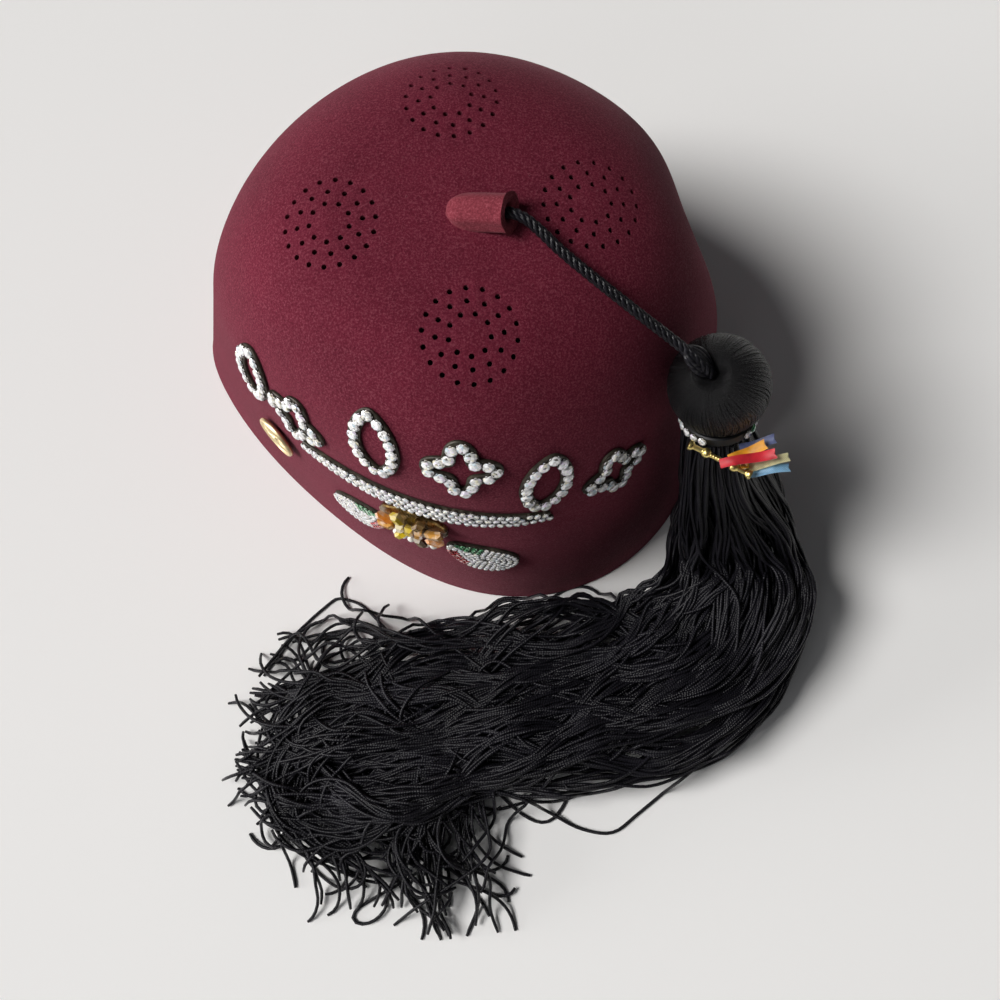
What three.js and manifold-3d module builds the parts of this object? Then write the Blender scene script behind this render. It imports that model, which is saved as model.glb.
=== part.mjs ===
// A soft felt fez with a tassel, standing on its rim. Millimetres and degrees, +Z up.
// The origin is on the surface under the middle of the hat's footprint, and -Y is the hat's front.
import * as THREE from 'three';
import { mergeVertices } from 'three/addons/utils/BufferGeometryUtils.js';
import Module from 'manifold-3d';

// ---------------------------------------------------------------- driving dimensions
const FELT = 2.4;
const GAP = 0.3;
const WALL_HEIGHT = 140;
const DOME_RISE = 9.9;
const BEND_DROP = 56;
const BEND_INSET = 36.5;
const RIM_CENTRE = { x: 9.45, y: 1.8 };
const CROWN_LEAN = { x: -4.9, y: -12.55 };

// The two outlines that the wall runs between. reachX and reachY are half sizes along axes turned by
// turn; egg and square are the depths of a three-sided and a four-sided swell, each turned by its own angle.
const OUTLINES = {
  rim: { reachX: 89.2, reachY: 99.5, turn: 20.2, egg: 3.7, eggTurn: 53.4, square: 0, squareTurn: 0 },
  crown: { reachX: 75.4, reachY: 72.9, turn: 0, egg: 1, eggTurn: 18.8, square: 1.2, squareTurn: 2.7 },
};

// Folds from flat storage: ridges that run up the wall from the rim and fade towards the crown.
const FOLDS = [
  { name: 'left storage fold', angle: 177, push: 17.7, spread: 24, roundness: 7 },
  { name: 'right storage fold', angle: -5, push: 5.4, spread: 24, roundness: 7 },
];

// Soft dents (push < 0) and swells (push > 0) of the wall.
const DENTS = [
  { name: 'right shoulder dent', angle: 12.4, push: -5.3, spread: 17, height: 100, reach: 32 },
  { name: 'right wall swell', angle: -3, push: 2.5, spread: 20, height: 70, reach: 40 },
];

// Levels run from 0 at the rim to 1 at the top: straight wall, rounded shoulder, domed top.
const BEND_START = 0.45;
const BEND_END = 0.68;

const AROUND = 48;
const LEVELS = [0, 0.1, 0.2, 0.3, 0.38, 0.45, 0.49, 0.53, 0.57, 0.61, 0.65, 0.7, 0.78, 0.88];
const ENVELOPE_TOP_LEVEL = 0.97;
const ENVELOPE_FOOT = -5;

// Vents: four groups, each of three rings of punched holes.
const VENT_GROUPS = { count: 4, fromMiddle: 39.4, turn: 3.3 };
const VENT_RINGS = [
  { radius: 14.2, holes: 18 },
  { radius: 10.2, holes: 12 },
  { radius: 6.4, holes: 9 },
];
const VENT_RADIUS = 0.85;
const VENT_SIDES = 5;

// Felt sleeve on the crown: middle line and outer radius at each section.
const STEM_SECTIONS = [
  { x: 0.8, y: -12.1, z: 149.2, radius: 2.2 },
  { x: 2.2, y: -12.3, z: 149.6, radius: 4.2 },
  { x: 5, y: -12.8, z: 150.4, radius: 5.5 },
  { x: 9.4, y: -13.7, z: 151.8, radius: 5.8 },
  { x: 14, y: -14.8, z: 153.4, radius: 5.8 },
  { x: 18.9, y: -16.1, z: 155.2, radius: 5.8 },
];
const STEM_SIDES = 14;
const STEM_BORE = { radius: 2.3, depth: 8, sides: 12 };

// Cord route, from inside the sleeve to the head's dimple.
const CORD_DIAMETER = 3.6;
const CORD_SIDES = 10;
const CORD_STEPS = 16;
const CORD_ROUTE = [
  [14.35, -14.89, 153.53], [17.08, -15.62, 154.53], [19.85, -16.4, 155.5], [23.6, -18.5, 155.7],
  [27.8, -21.8, 154.4], [32, -25.4, 152.3], [36.1, -28.6, 150.5], [40, -31.6, 149.2], [43.9, -34.5, 147.8],
  [47.9, -37.3, 146.1], [51.9, -39.9, 144.2], [56, -42.5, 142.1], [60.1, -45, 139.9], [64.3, -47.5, 137.7],
  [68.4, -50.1, 135.7], [72.2, -52.7, 133.9], [75.4, -54.9, 132], [77.9, -56.4, 129.8], [79.6, -57, 127.2],
];

// Tassel head: a ball on a short neck. Its dimple points to the cord and its neck to the skirt.
const HEAD = {
  middle: [84.1, -55.9, 114.6], radius: 16.4, dimpleWay: [-0.31, -0.09, 0.95], neckWay: [0.09, -0.39, -0.92],
};
const HEAD_PARTS = { dimpleFloor: 11.6, dimpleRadius: 2.7, lipRadius: 6.2, neckRadius: 10.2, neckEnd: -18 };
const HEAD_ROWS = 12;
const LATHE_SIDES = 24;
const COLLAR = { inner: 10.6, outer: 12.8, top: -12.9, bottom: -16.6, rounding: 0.7 };

// The head turns from dimpleWay to neckWay between these angles from its top.
const HEAD_TURN = { from: 40, to: 130 };

// Skirt: the outer form of the strands. side is the direction in which halfWidth is measured.
const SKIRT_SECTIONS = [
  { x: 85.77, y: -63.14, z: 97.53, halfWidth: 11.2, halfDepth: 11.2, side: -20 },
  { x: 85.97, y: -64, z: 95.5, halfWidth: 12.2, halfDepth: 12, side: -20 },
  { x: 88, y: -67, z: 84, halfWidth: 15, halfDepth: 14.5, side: -20 },
  { x: 92.5, y: -71, z: 64, halfWidth: 20, halfDepth: 18.5, side: -18 },
  { x: 97, y: -77, z: 44, halfWidth: 24, halfDepth: 19, side: -14 },
  { x: 99.5, y: -87, z: 28, halfWidth: 27.5, halfDepth: 18, side: -12 },
  { x: 99.5, y: -101, z: 19.5, halfWidth: 29, halfDepth: 16.5, side: -14 },
  { x: 94.5, y: -114.5, z: 15.5, halfWidth: 30.5, halfDepth: 14.5, side: -34 },
  { x: 84.5, y: -126.5, z: 14, halfWidth: 32, halfDepth: 13.4, side: -56 },
  { x: 69, y: -136, z: 13.6, halfWidth: 34, halfDepth: 13, side: -70 },
  { x: 48, y: -140, z: 13.6, halfWidth: 34, halfDepth: 13, side: -80 },
  { x: 24, y: -143, z: 13.4, halfWidth: 36, halfDepth: 12.8, side: -86 },
  { x: 0, y: -145, z: 13, halfWidth: 38, halfDepth: 12.4, side: -84 },
  { x: -25, y: -150, z: 12.4, halfWidth: 40, halfDepth: 11.8, side: -82 },
  { x: -48, y: -154, z: 11, halfWidth: 39, halfDepth: 10.4, side: -84 },
  { x: -67, y: -155, z: 8.4, halfWidth: 31, halfDepth: 7.8, side: -88 },
  { x: -80, y: -155, z: 5.4, halfWidth: 17, halfDepth: 4.8, side: -90 },
];
const SKIRT_TAIL_SECTIONS = [
  { x: -2, y: -160, z: 9.4, halfWidth: 22, halfDepth: 8.6, side: 0 },
  { x: -9, y: -181, z: 8.8, halfWidth: 24, halfDepth: 8.2, side: -4 },
  { x: -16, y: -200, z: 7.4, halfWidth: 24, halfDepth: 6.8, side: -4 },
  { x: -14, y: -217, z: 4.6, halfWidth: 12, halfDepth: 4, side: 8 },
];
const SKIRT_SIDES = 18;
const SKIRT_FLOOR = 0.4;
const SKIRT_FULLNESS = 2.3;

// Paved ornaments: bands and plates that follow the wall. climb is the way up the wall from the rim.
const PLATE_THICKNESS = 1.7;
const BAND_WIDTH = 4.4;
const LEAF = { halfHeight: 12.5, halfWidth: 6.6, pinch: 0.35 };
const FLOWER = { radius: 8.2, petalDepth: 2.6, petals: 4 };
const MOTIFS = [
  { angle: -154, climb: 99, tilt: 10, shape: 'leaf' },
  { angle: -137.5, climb: 101, tilt: 0, shape: 'flower' },
  { angle: -114, climb: 119, tilt: 14, shape: 'leaf' },
  { angle: -92, climb: 119, tilt: 0, shape: 'flower' },
  { angle: -73, climb: 106, tilt: -18, shape: 'leaf' },
  { angle: -56.5, climb: 92, tilt: 0, shape: 'flower' },
];
const GARLAND = { angle: -104.5, climb: 85, span: 88, arch: 5.5, endWidth: 4.4, middleWidth: 10.6 };
const BROOCH = { angle: -105, climb: 72 };
const PETAL = { from: 17.2, length: 28, halfWidth: 10, droop: 44, taper: -0.25, dome: 0.6 };
const ROSETTE = { halfWidth: 12, halfHeight: 11.6, dome: 0.8 };
const BAGUETTES = { ring: 8, ringRadius: 9.2, middle: 3, length: 6.4, width: 2.9, height: 2.6, lift: 3.2 };

// Cut of a long stone: its size at a share of its height.
const BAGUETTE_CUT = [{ size: 0.8, rise: 0 }, { size: 1, rise: 0.55 }, { size: 0.62, rise: 1 }];
const PEARLS = { fromTurn: 248, toTurn: 292, radius: 18.2, width: 3.6 };
const BUTTON = { angle: -146.5, climb: 59, radius: 8.6, thickness: 2.4, lift: 1, rim: 0.7, flat: 0.4 };

// Points along and across the bands and plates.
const MESHING = { motif: 24, garland: 22, pearls: 9, petal: 18, rosette: 20, plateRows: 3 };

// Gilt pin and ribbons on the tassel.
const PIN_ENDS = [[75, -71.9, 104.1], [94.6, -81.7, 101.3]];
const PIN = { radius: 0.9, beadRadius: 1.7, sides: 8, beadRows: 6, beads: [0.02, 0.28, 0.72, 0.98] };
const RIBBONS = [
  { name: 'ribbon_1', colour: '#d21f2e', root: [85.5, -79.2, 106.6], tip: [102.5, -76.8, 107], width: 3 },
  { name: 'ribbon_2', colour: '#e6951a', root: [92.2, -75.2, 103.6], tip: [99.6, -72.4, 105], width: 2.8 },
  { name: 'ribbon_3', colour: '#59689a', root: [98.4, -69.6, 101.6], tip: [104.4, -68.8, 103], width: 2.8 },
  { name: 'ribbon_4', colour: '#e9e2a0', root: [97.2, -79.6, 103], tip: [108.2, -77.8, 102.6], width: 2.4 },
  { name: 'ribbon_5', colour: '#7fb2d8', root: [97.6, -82.2, 100.2], tip: [108.8, -81.4, 99.6], width: 2.4 },
];
const RIBBON = { thickness: 0.6, wave: 0.8, steps: 6, roughness: 0.6 };

const FINISHES = {
  felt: { color: '#5a1220', roughness: 1, metalness: 0 },
  stemFelt: { color: '#6a1c28', roughness: 1, metalness: 0 },
  cord: { color: '#0c0c0f', roughness: 0.5, metalness: 0 },
  strands: { color: '#0c0c0f', roughness: 0.6, metalness: 0 },
  crystal: { color: '#dfe3ee', roughness: 0.2, metalness: 0 },
  amber: { color: '#c48a1c', roughness: 0.05, metalness: 0 },
  pearl: { color: '#ece6da', roughness: 0.3, metalness: 0 },
  gilt: { color: '#d6a441', roughness: 0.3, metalness: 1 },
};

// ---------------------------------------------------------------- small helpers
const wasm = await Module();
wasm.setup();

const radians = THREE.MathUtils.degToRad;
const lerp = THREE.MathUtils.lerp;

function wrapDegrees(angle) {
  return THREE.MathUtils.euclideanModulo(angle + 180, 360) - 180;
}

function steps(count, make) {
  return Array.from({ length: count }, (_, index) => make(index));
}

function indexedGeometry(points, faces) {
  const geometry = new THREE.BufferGeometry();
  const numbers = points.flatMap((point) => [point.x, point.y, point.z]);
  geometry.setAttribute('position', new THREE.Float32BufferAttribute(numbers, 3));
  geometry.setIndex(faces.flat());
  return geometry;
}

// Closes a stack of rings with the same number of points into one solid, with a fan on each end.
// A ring's points run anticlockwise as seen from the far end of the stack.
function loftRings(rings, closedPath = false) {
  const size = rings[0].length;
  const points = rings.flat();
  const faces = [];
  const last = closedPath ? rings.length : rings.length - 1;
  for (let row = 0; row < last; row += 1) {
    const next = (row + 1) % rings.length;
    for (let side = 0; side < size; side += 1) {
      const turn = (side + 1) % size;
      const a = row * size + side;
      const b = row * size + turn;
      const c = next * size + turn;
      const d = next * size + side;
      faces.push([a, b, c], [a, c, d]);
    }
  }
  if (!closedPath) {
    const middleOf = (ring) => ring.reduce((sum, p) => sum.add(p), new THREE.Vector3()).divideScalar(size);
    const start = points.push(middleOf(rings[0])) - 1;
    const end = points.push(middleOf(rings.at(-1))) - 1;
    const top = (rings.length - 1) * size;
    for (let side = 0; side < size; side += 1) {
      const turn = (side + 1) % size;
      faces.push([start, turn, side], [end, top + side, top + turn]);
    }
  }
  return indexedGeometry(points, faces);
}

function toManifold(geometry) {
  const bare = geometry.clone();
  bare.deleteAttribute('normal');
  bare.deleteAttribute('uv');
  const merged = mergeVertices(bare, 1e-4);
  const solid = new wasm.Mesh({
    numProp: 3,
    vertProperties: Float32Array.from(merged.attributes.position.array),
    triVerts: Uint32Array.from(merged.index.array),
  });
  return new wasm.Manifold(solid);
}

function fromManifold(solid) {
  const mesh = solid.getMesh();
  const geometry = new THREE.BufferGeometry();
  geometry.setAttribute('position', new THREE.BufferAttribute(mesh.vertProperties, 3));
  geometry.setIndex(Array.from(mesh.triVerts));
  return geometry;
}

function part(name, geometry, finish) {
  geometry.computeVertexNormals();
  const mesh = new THREE.Mesh(geometry, new THREE.MeshStandardMaterial(finish));
  mesh.name = name;
  return mesh;
}

// ---------------------------------------------------------------- the crown's surface
function outlineRadius(outline, angle) {
  const along = radians(angle - outline.turn);
  const oval = (outline.reachX * outline.reachY)
    / Math.hypot(outline.reachY * Math.cos(along), outline.reachX * Math.sin(along));
  const egg = outline.egg * Math.cos(3 * radians(angle - outline.eggTurn));
  const square = outline.square * Math.cos(4 * radians(angle - outline.squareTurn));
  return oval + egg + square;
}

function foldPush(fold, angle) {
  const away = wrapDegrees(angle - fold.angle);
  return fold.push * Math.exp(-(Math.hypot(away, fold.roundness) - fold.roundness) / fold.spread);
}

function dentPush(dent, angle, height) {
  const away = wrapDegrees(angle - dent.angle) / dent.spread;
  const above = (height - dent.height) / dent.reach;
  return dent.push * Math.exp(-away * away - above * above);
}

// Outer surface of the felt at an angle round the hat and a level up it.
function crownPoint(angle, level) {
  const folds = FOLDS.reduce((sum, fold) => sum + foldPush(fold, angle), 0);
  const rim = outlineRadius(OUTLINES.rim, angle) + folds;
  const edge = outlineRadius(OUTLINES.crown, angle);
  const domeHeight = (radius) => WALL_HEIGHT + DOME_RISE * (1 - (radius / edge) ** 2);
  const bendHeight = WALL_HEIGHT - BEND_DROP;
  const bendRadius = lerp(rim, edge, bendHeight / WALL_HEIGHT);
  const topRadius = edge - BEND_INSET;
  let radius;
  let height;
  if (level <= BEND_START) {
    const share = level / BEND_START;
    radius = lerp(rim, bendRadius, share);
    height = bendHeight * share;
  } else if (level <= BEND_END) {
    const t = (level - BEND_START) / (BEND_END - BEND_START);
    const bend = (from, corner, to) => (1 - t) ** 2 * from + 2 * t * (1 - t) * corner + t * t * to;
    radius = bend(bendRadius, edge, topRadius);
    height = bend(bendHeight, WALL_HEIGHT, domeHeight(topRadius));
  } else {
    radius = topRadius * (1 - (level - BEND_END) / (1 - BEND_END));
    height = domeHeight(radius);
  }
  if (level < 1) radius += DENTS.reduce((sum, dent) => sum + dentPush(dent, angle, height), 0);
  const lean = height / WALL_HEIGHT;
  return new THREE.Vector3(
    RIM_CENTRE.x + CROWN_LEAN.x * lean + radius * Math.cos(radians(angle)),
    RIM_CENTRE.y + CROWN_LEAN.y * lean + radius * Math.sin(radians(angle)),
    height,
  );
}

function crownNormal(angle, level) {
  const probe = 0.002;
  const at = Math.min(level, 1 - 2 * probe);
  const around = crownPoint(angle + 1, at).sub(crownPoint(angle - 1, at));
  const up = crownPoint(angle, at + probe).sub(crownPoint(angle, Math.max(at - probe, 0)));
  return around.cross(up).normalize();
}

// One ring of the surface, moved out along its normals by offset. The rim's ring keeps its height.
function crownRing(level, offset) {
  return steps(AROUND, (index) => {
    const angle = (360 * index) / AROUND;
    const point = crownPoint(angle, level).addScaledVector(crownNormal(angle, level), offset);
    if (level === 0) point.z = 0;
    return point;
  });
}

function crownTop(offset) {
  return crownPoint(0, 1).add(new THREE.Vector3(0, 0, offset));
}

// ---------------------------------------------------------------- crown
function shellGeometry() {
  const rings = LEVELS.map((level) => crownRing(level, 0));
  const inner = LEVELS.map((level) => crownRing(level, -FELT));
  const points = [...rings.flat(), crownTop(0), ...inner.flat(), crownTop(-FELT)];
  const innerStart = rings.length * AROUND + 1;
  const faces = [];
  const quad = (a, b, c, d) => faces.push([a, b, c], [a, c, d]);
  for (let side = 0; side < AROUND; side += 1) {
    const turn = (side + 1) % AROUND;
    for (let row = 0; row < LEVELS.length - 1; row += 1) {
      const low = row * AROUND;
      const high = low + AROUND;
      quad(low + side, low + turn, high + turn, high + side);
      const under = innerStart + low;
      const over = innerStart + high;
      quad(under + turn, under + side, over + side, over + turn);
    }
    const last = (LEVELS.length - 1) * AROUND;
    faces.push([last + side, last + turn, innerStart - 1]);
    faces.push([innerStart + last + turn, innerStart + last + side, points.length - 1]);
    quad(turn, side, innerStart + side, innerStart + turn);
  }
  return indexedGeometry(points, faces);
}

// Where a vent group's own x and y, in millimetres, fall on the top, as angle and level.
function topPlace(x, y) {
  const angle = THREE.MathUtils.radToDeg(Math.atan2(y, x));
  const wanted = Math.hypot(x, y);
  let low = BEND_START;
  let high = 1;
  for (let round = 0; round < 30; round += 1) {
    const middle = (low + high) / 2;
    const point = crownPoint(angle, middle);
    const lean = point.z / WALL_HEIGHT;
    const radius = Math.hypot(
      point.x - RIM_CENTRE.x - CROWN_LEAN.x * lean,
      point.y - RIM_CENTRE.y - CROWN_LEAN.y * lean,
    );
    if (radius > wanted) low = middle;
    else high = middle;
  }
  return { angle, level: (low + high) / 2 };
}

function ventPunches() {
  const punches = [];
  for (let group = 0; group < VENT_GROUPS.count; group += 1) {
    const direction = radians(VENT_GROUPS.turn + (360 * group) / VENT_GROUPS.count);
    const middle = new THREE.Vector2(VENT_GROUPS.fromMiddle, 0).rotateAround(new THREE.Vector2(), direction);
    for (const ring of VENT_RINGS) {
      for (let hole = 0; hole < ring.holes; hole += 1) {
        const turn = direction + (2 * Math.PI * hole) / ring.holes;
        const x = middle.x + ring.radius * Math.cos(turn);
        const y = middle.y + ring.radius * Math.sin(turn);
        const place = topPlace(x, y);
        const normal = crownNormal(place.angle, place.level);
        const punch = new THREE.CylinderGeometry(VENT_RADIUS, VENT_RADIUS, 3 * FELT, VENT_SIDES);
        punch.applyQuaternion(new THREE.Quaternion().setFromUnitVectors(new THREE.Vector3(0, 1, 0), normal));
        const at = crownPoint(place.angle, place.level).addScaledVector(normal, -FELT / 2);
        punch.translate(at.x, at.y, at.z);
        punches.push(toManifold(punch));
      }
    }
  }
  return wasm.Manifold.union(punches);
}

function crownGeometry() {
  return fromManifold(toManifold(shellGeometry()).subtract(ventPunches()));
}

// The crown without its hollow, grown by a gap, to cut what leans on it.
function crownEnvelope(growth) {
  const foot = crownRing(0, growth).map((point) => point.setZ(ENVELOPE_FOOT));
  const rings = LEVELS.map((level) => crownRing(level, growth));
  return toManifold(loftRings([foot, ...rings, crownTopRing(growth)]));
}

function crownTopRing(growth) {
  const top = crownTop(growth);
  return crownRing(ENVELOPE_TOP_LEVEL, growth).map((point) => point.setZ(Math.min(point.z, top.z)));
}

// ---------------------------------------------------------------- stem and cord
function circleRing(centre, direction, radius, sides) {
  const side = new THREE.Vector3(0, 0, 1).cross(direction).normalize();
  const up = direction.clone().cross(side).normalize();
  return steps(sides, (index) => {
    const turn = (2 * Math.PI * index) / sides;
    const across = side.clone().multiplyScalar(radius * Math.cos(turn));
    return across.addScaledVector(up, radius * Math.sin(turn)).add(centre);
  });
}

function stemGeometry(envelope) {
  const places = STEM_SECTIONS.map((section) => new THREE.Vector3(section.x, section.y, section.z));
  const heading = (index) => {
    const from = places[Math.max(index - 1, 0)];
    const to = places[Math.min(index + 1, places.length - 1)];
    return to.clone().sub(from).normalize();
  };
  const ringAt = (section, index) => circleRing(places[index], heading(index), section.radius, STEM_SIDES);
  const rings = STEM_SECTIONS.map(ringAt);
  const out = heading(places.length - 1);
  const bottom = places.at(-1).clone().addScaledVector(out, -STEM_BORE.depth);
  const mouth = places.at(-1).clone().addScaledVector(out, 1);
  const boreRing = (place) => circleRing(place, out, STEM_BORE.radius, STEM_BORE.sides);
  const bore = loftRings([boreRing(bottom), boreRing(mouth)]);
  return fromManifold(toManifold(loftRings(rings)).subtract(envelope).subtract(toManifold(bore)));
}

function cordGeometry() {
  const route = new THREE.CatmullRomCurve3(CORD_ROUTE.map((place) => new THREE.Vector3(...place)));
  const section = new THREE.Shape();
  section.absarc(0, 0, CORD_DIAMETER / 2, 0, 2 * Math.PI);
  return new THREE.ExtrudeGeometry(section, {
    curveSegments: CORD_SIDES / 2,
    steps: CORD_STEPS,
    extrudePath: route,
  });
}

// ---------------------------------------------------------------- tassel
// Bends a lathe around the head's middle, so that its top follows dimpleWay and its foot neckWay.
function ontoHead(geometry) {
  const up = new THREE.Vector3(0, 1, 0);
  const dimpleWay = new THREE.Vector3(...HEAD.dimpleWay).normalize();
  const towardsDimple = new THREE.Quaternion().setFromUnitVectors(up, dimpleWay);
  const down = up.clone().negate();
  const neckWay = new THREE.Vector3(...HEAD.neckWay).normalize();
  const towardsNeck = new THREE.Quaternion().setFromUnitVectors(down, neckWay);
  const middle = new THREE.Vector3(...HEAD.middle);
  const position = geometry.attributes.position;
  const point = new THREE.Vector3();
  for (let index = 0; index < position.count; index += 1) {
    point.fromBufferAttribute(position, index);
    const fromTop = THREE.MathUtils.radToDeg(point.angleTo(up));
    const share = THREE.MathUtils.smoothstep(fromTop, HEAD_TURN.from, HEAD_TURN.to);
    point.applyQuaternion(towardsDimple.clone().slerp(towardsNeck, share)).add(middle);
    position.setXYZ(index, point.x, point.y, point.z);
  }
  return geometry;
}

function headGeometry() {
  const lipAngle = Math.asin(HEAD_PARTS.lipRadius / HEAD.radius);
  const neckAngle = Math.PI - Math.asin(HEAD_PARTS.neckRadius / HEAD.radius);
  const bulge = steps(HEAD_ROWS, (index) => {
    const turn = lerp(neckAngle, lipAngle, index / (HEAD_ROWS - 1));
    return new THREE.Vector2(HEAD.radius * Math.sin(turn), HEAD.radius * Math.cos(turn));
  });
  const profile = [
    new THREE.Vector2(0, HEAD_PARTS.neckEnd),
    new THREE.Vector2(HEAD_PARTS.neckRadius, HEAD_PARTS.neckEnd),
    ...bulge,
    new THREE.Vector2(HEAD_PARTS.dimpleRadius, HEAD_PARTS.dimpleFloor),
    new THREE.Vector2(0, HEAD_PARTS.dimpleFloor),
  ];
  return ontoHead(new THREE.LatheGeometry(profile, LATHE_SIDES));
}

function collarGeometry() {
  const profile = [
    new THREE.Vector2(COLLAR.inner, COLLAR.bottom),
    new THREE.Vector2(COLLAR.outer - COLLAR.rounding, COLLAR.bottom),
    new THREE.Vector2(COLLAR.outer, COLLAR.bottom + COLLAR.rounding),
    new THREE.Vector2(COLLAR.outer, COLLAR.top - COLLAR.rounding),
    new THREE.Vector2(COLLAR.outer - COLLAR.rounding, COLLAR.top),
    new THREE.Vector2(COLLAR.inner, COLLAR.top),
    new THREE.Vector2(COLLAR.inner, COLLAR.bottom),
  ];
  return ontoHead(new THREE.LatheGeometry(profile, LATHE_SIDES));
}

function skirtRings(sections) {
  const places = sections.map((section) => new THREE.Vector3(section.x, section.y, section.z));
  const signed = (value) => Math.sign(value) * Math.abs(value) ** (2 / SKIRT_FULLNESS);
  return sections.map((section, row) => {
    const from = places[Math.max(row - 1, 0)];
    const to = places[Math.min(row + 1, places.length - 1)];
    const heading = to.clone().sub(from).normalize();
    const side = new THREE.Vector3(Math.cos(radians(section.side)), Math.sin(radians(section.side)), 0);
    const depth = heading.clone().cross(side).normalize();
    side.crossVectors(depth, heading);
    return steps(SKIRT_SIDES, (index) => {
      const turn = (2 * Math.PI * index) / SKIRT_SIDES;
      const point = places[row].clone();
      point.addScaledVector(side, section.halfWidth * signed(Math.cos(turn)));
      point.addScaledVector(depth, section.halfDepth * signed(Math.sin(turn)));
      point.z = Math.max(point.z, SKIRT_FLOOR);
      return point;
    });
  });
}

function skirtGeometry(envelope) {
  const main = toManifold(loftRings(skirtRings(SKIRT_SECTIONS)));
  const tail = toManifold(loftRings(skirtRings(SKIRT_TAIL_SECTIONS)));
  return fromManifold(main.add(tail).subtract(envelope));
}

// ---------------------------------------------------------------- pin and ribbons
function pinGeometry() {
  const [from, to] = PIN_ENDS.map((place) => new THREE.Vector3(...place));
  const heading = to.clone().sub(from).normalize();
  const bar = loftRings([from, to].map((point) => circleRing(point, heading, PIN.radius, PIN.sides)));
  const beads = PIN.beads.map((share) => {
    const bead = new THREE.SphereGeometry(PIN.beadRadius, PIN.sides, PIN.beadRows);
    const point = from.clone().lerp(to, share);
    bead.translate(point.x, point.y, point.z);
    return toManifold(bead);
  });
  return fromManifold(wasm.Manifold.union([toManifold(bar), ...beads]));
}

function ribbonGeometry(ribbon) {
  const root = new THREE.Vector3(...ribbon.root);
  const tip = new THREE.Vector3(...ribbon.tip);
  const along = tip.clone().sub(root);
  const across = new THREE.Vector3(0, 0, 1).cross(along).normalize().multiplyScalar(ribbon.width / 2);
  const rings = steps(RIBBON.steps + 1, (index) => {
    const share = index / RIBBON.steps;
    const centre = root.clone().addScaledVector(along, share);
    centre.z += RIBBON.wave * Math.sin(2 * Math.PI * share);
    const lift = new THREE.Vector3(0, 0, RIBBON.thickness / 2);
    return [
      centre.clone().add(across).sub(lift),
      centre.clone().add(across).add(lift),
      centre.clone().sub(across).add(lift),
      centre.clone().sub(across).sub(lift),
    ];
  });
  return loftRings(rings);
}

// ---------------------------------------------------------------- ornaments on the wall
// Level at a distance climbed up the wall from the rim.
function levelAtClimb(angle, climb) {
  const stride = 0.01;
  let level = 0;
  let walked = 0;
  let here = crownPoint(angle, 0);
  while (level < 0.95) {
    const next = crownPoint(angle, level + stride);
    const length = next.distanceTo(here);
    if (walked + length >= climb) return level + (stride * (climb - walked)) / length;
    walked += length;
    level += stride;
    here = next;
  }
  return level;
}

// A point on the wall: across and up are millimetres from a place on it, lift is along its normal.
function onWall(place, across, up, lift) {
  const climb = place.climb + up;
  const level = levelAtClimb(place.angle, climb);
  const centre = crownPoint(place.angle, level);
  const lean = centre.z / WALL_HEIGHT;
  const radius = Math.hypot(
    centre.x - RIM_CENTRE.x - CROWN_LEAN.x * lean,
    centre.y - RIM_CENTRE.y - CROWN_LEAN.y * lean,
  );
  const angle = place.angle + THREE.MathUtils.radToDeg(across / radius);
  const at = levelAtClimb(angle, climb);
  return crownPoint(angle, at).addScaledVector(crownNormal(angle, at), lift);
}

function turned(x, y, degrees) {
  const turn = radians(degrees);
  return { x: x * Math.cos(turn) - y * Math.sin(turn), y: x * Math.sin(turn) + y * Math.cos(turn) };
}

// A flat band along a line drawn on the wall. line(t) gives across and up, width(t) its width.
function bandGeometry(place, line, width, count, closedPath) {
  const rows = closedPath ? count : count + 1;
  const rings = steps(rows, (index) => {
    const t = index / count;
    const probe = 0.01;
    const here = line(t);
    const before = line(closedPath ? t - probe : Math.max(t - probe, 0));
    const after = line(closedPath ? t + probe : Math.min(t + probe, 1));
    const length = Math.hypot(after.x - before.x, after.y - before.y);
    const half = width(t) / 2;
    const side = { x: (-half * (after.y - before.y)) / length, y: (half * (after.x - before.x)) / length };
    return [
      onWall(place, here.x + side.x, here.y + side.y, GAP),
      onWall(place, here.x + side.x, here.y + side.y, GAP + PLATE_THICKNESS),
      onWall(place, here.x - side.x, here.y - side.y, GAP + PLATE_THICKNESS),
      onWall(place, here.x - side.x, here.y - side.y, GAP),
    ];
  });
  return loftRings(rings, closedPath);
}

// A filled plate on the wall. outline(t) gives its edge, dome is how much its middle stands up.
function plateGeometry(place, outline, middle, dome, count) {
  const rows = MESHING.plateRows;
  const layer = (lift, swell) => steps(rows, (row) => steps(count, (index) => {
    const share = (row + 1) / rows;
    const edge = outline(index / count);
    const x = lerp(middle.x, edge.x, share);
    const y = lerp(middle.y, edge.y, share);
    return onWall(place, x, y, lift + swell * (1 - share * share));
  }));
  const bottom = layer(GAP, 0);
  const top = layer(GAP + PLATE_THICKNESS, dome);
  return loftRings([...bottom, ...top.reverse()]);
}

function leafLine(tilt) {
  return (t) => {
    const turn = 2 * Math.PI * t;
    const x = LEAF.halfWidth * Math.sin(turn) * Math.abs(Math.sin(turn)) ** LEAF.pinch;
    return turned(x, LEAF.halfHeight * Math.cos(turn), tilt);
  };
}

function flowerLine(tilt) {
  return (t) => {
    const turn = 2 * Math.PI * t;
    const radius = FLOWER.radius + FLOWER.petalDepth * Math.cos(FLOWER.petals * turn);
    return turned(radius * Math.cos(turn), radius * Math.sin(turn), tilt);
  };
}

function motifMeshes() {
  return MOTIFS.map((motif, index) => {
    const line = motif.shape === 'leaf' ? leafLine(motif.tilt) : flowerLine(motif.tilt);
    const geometry = bandGeometry(motif, line, () => BAND_WIDTH, MESHING.motif, true);
    return part(`motif_${index + 1}`, geometry, FINISHES.crystal);
  });
}

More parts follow.
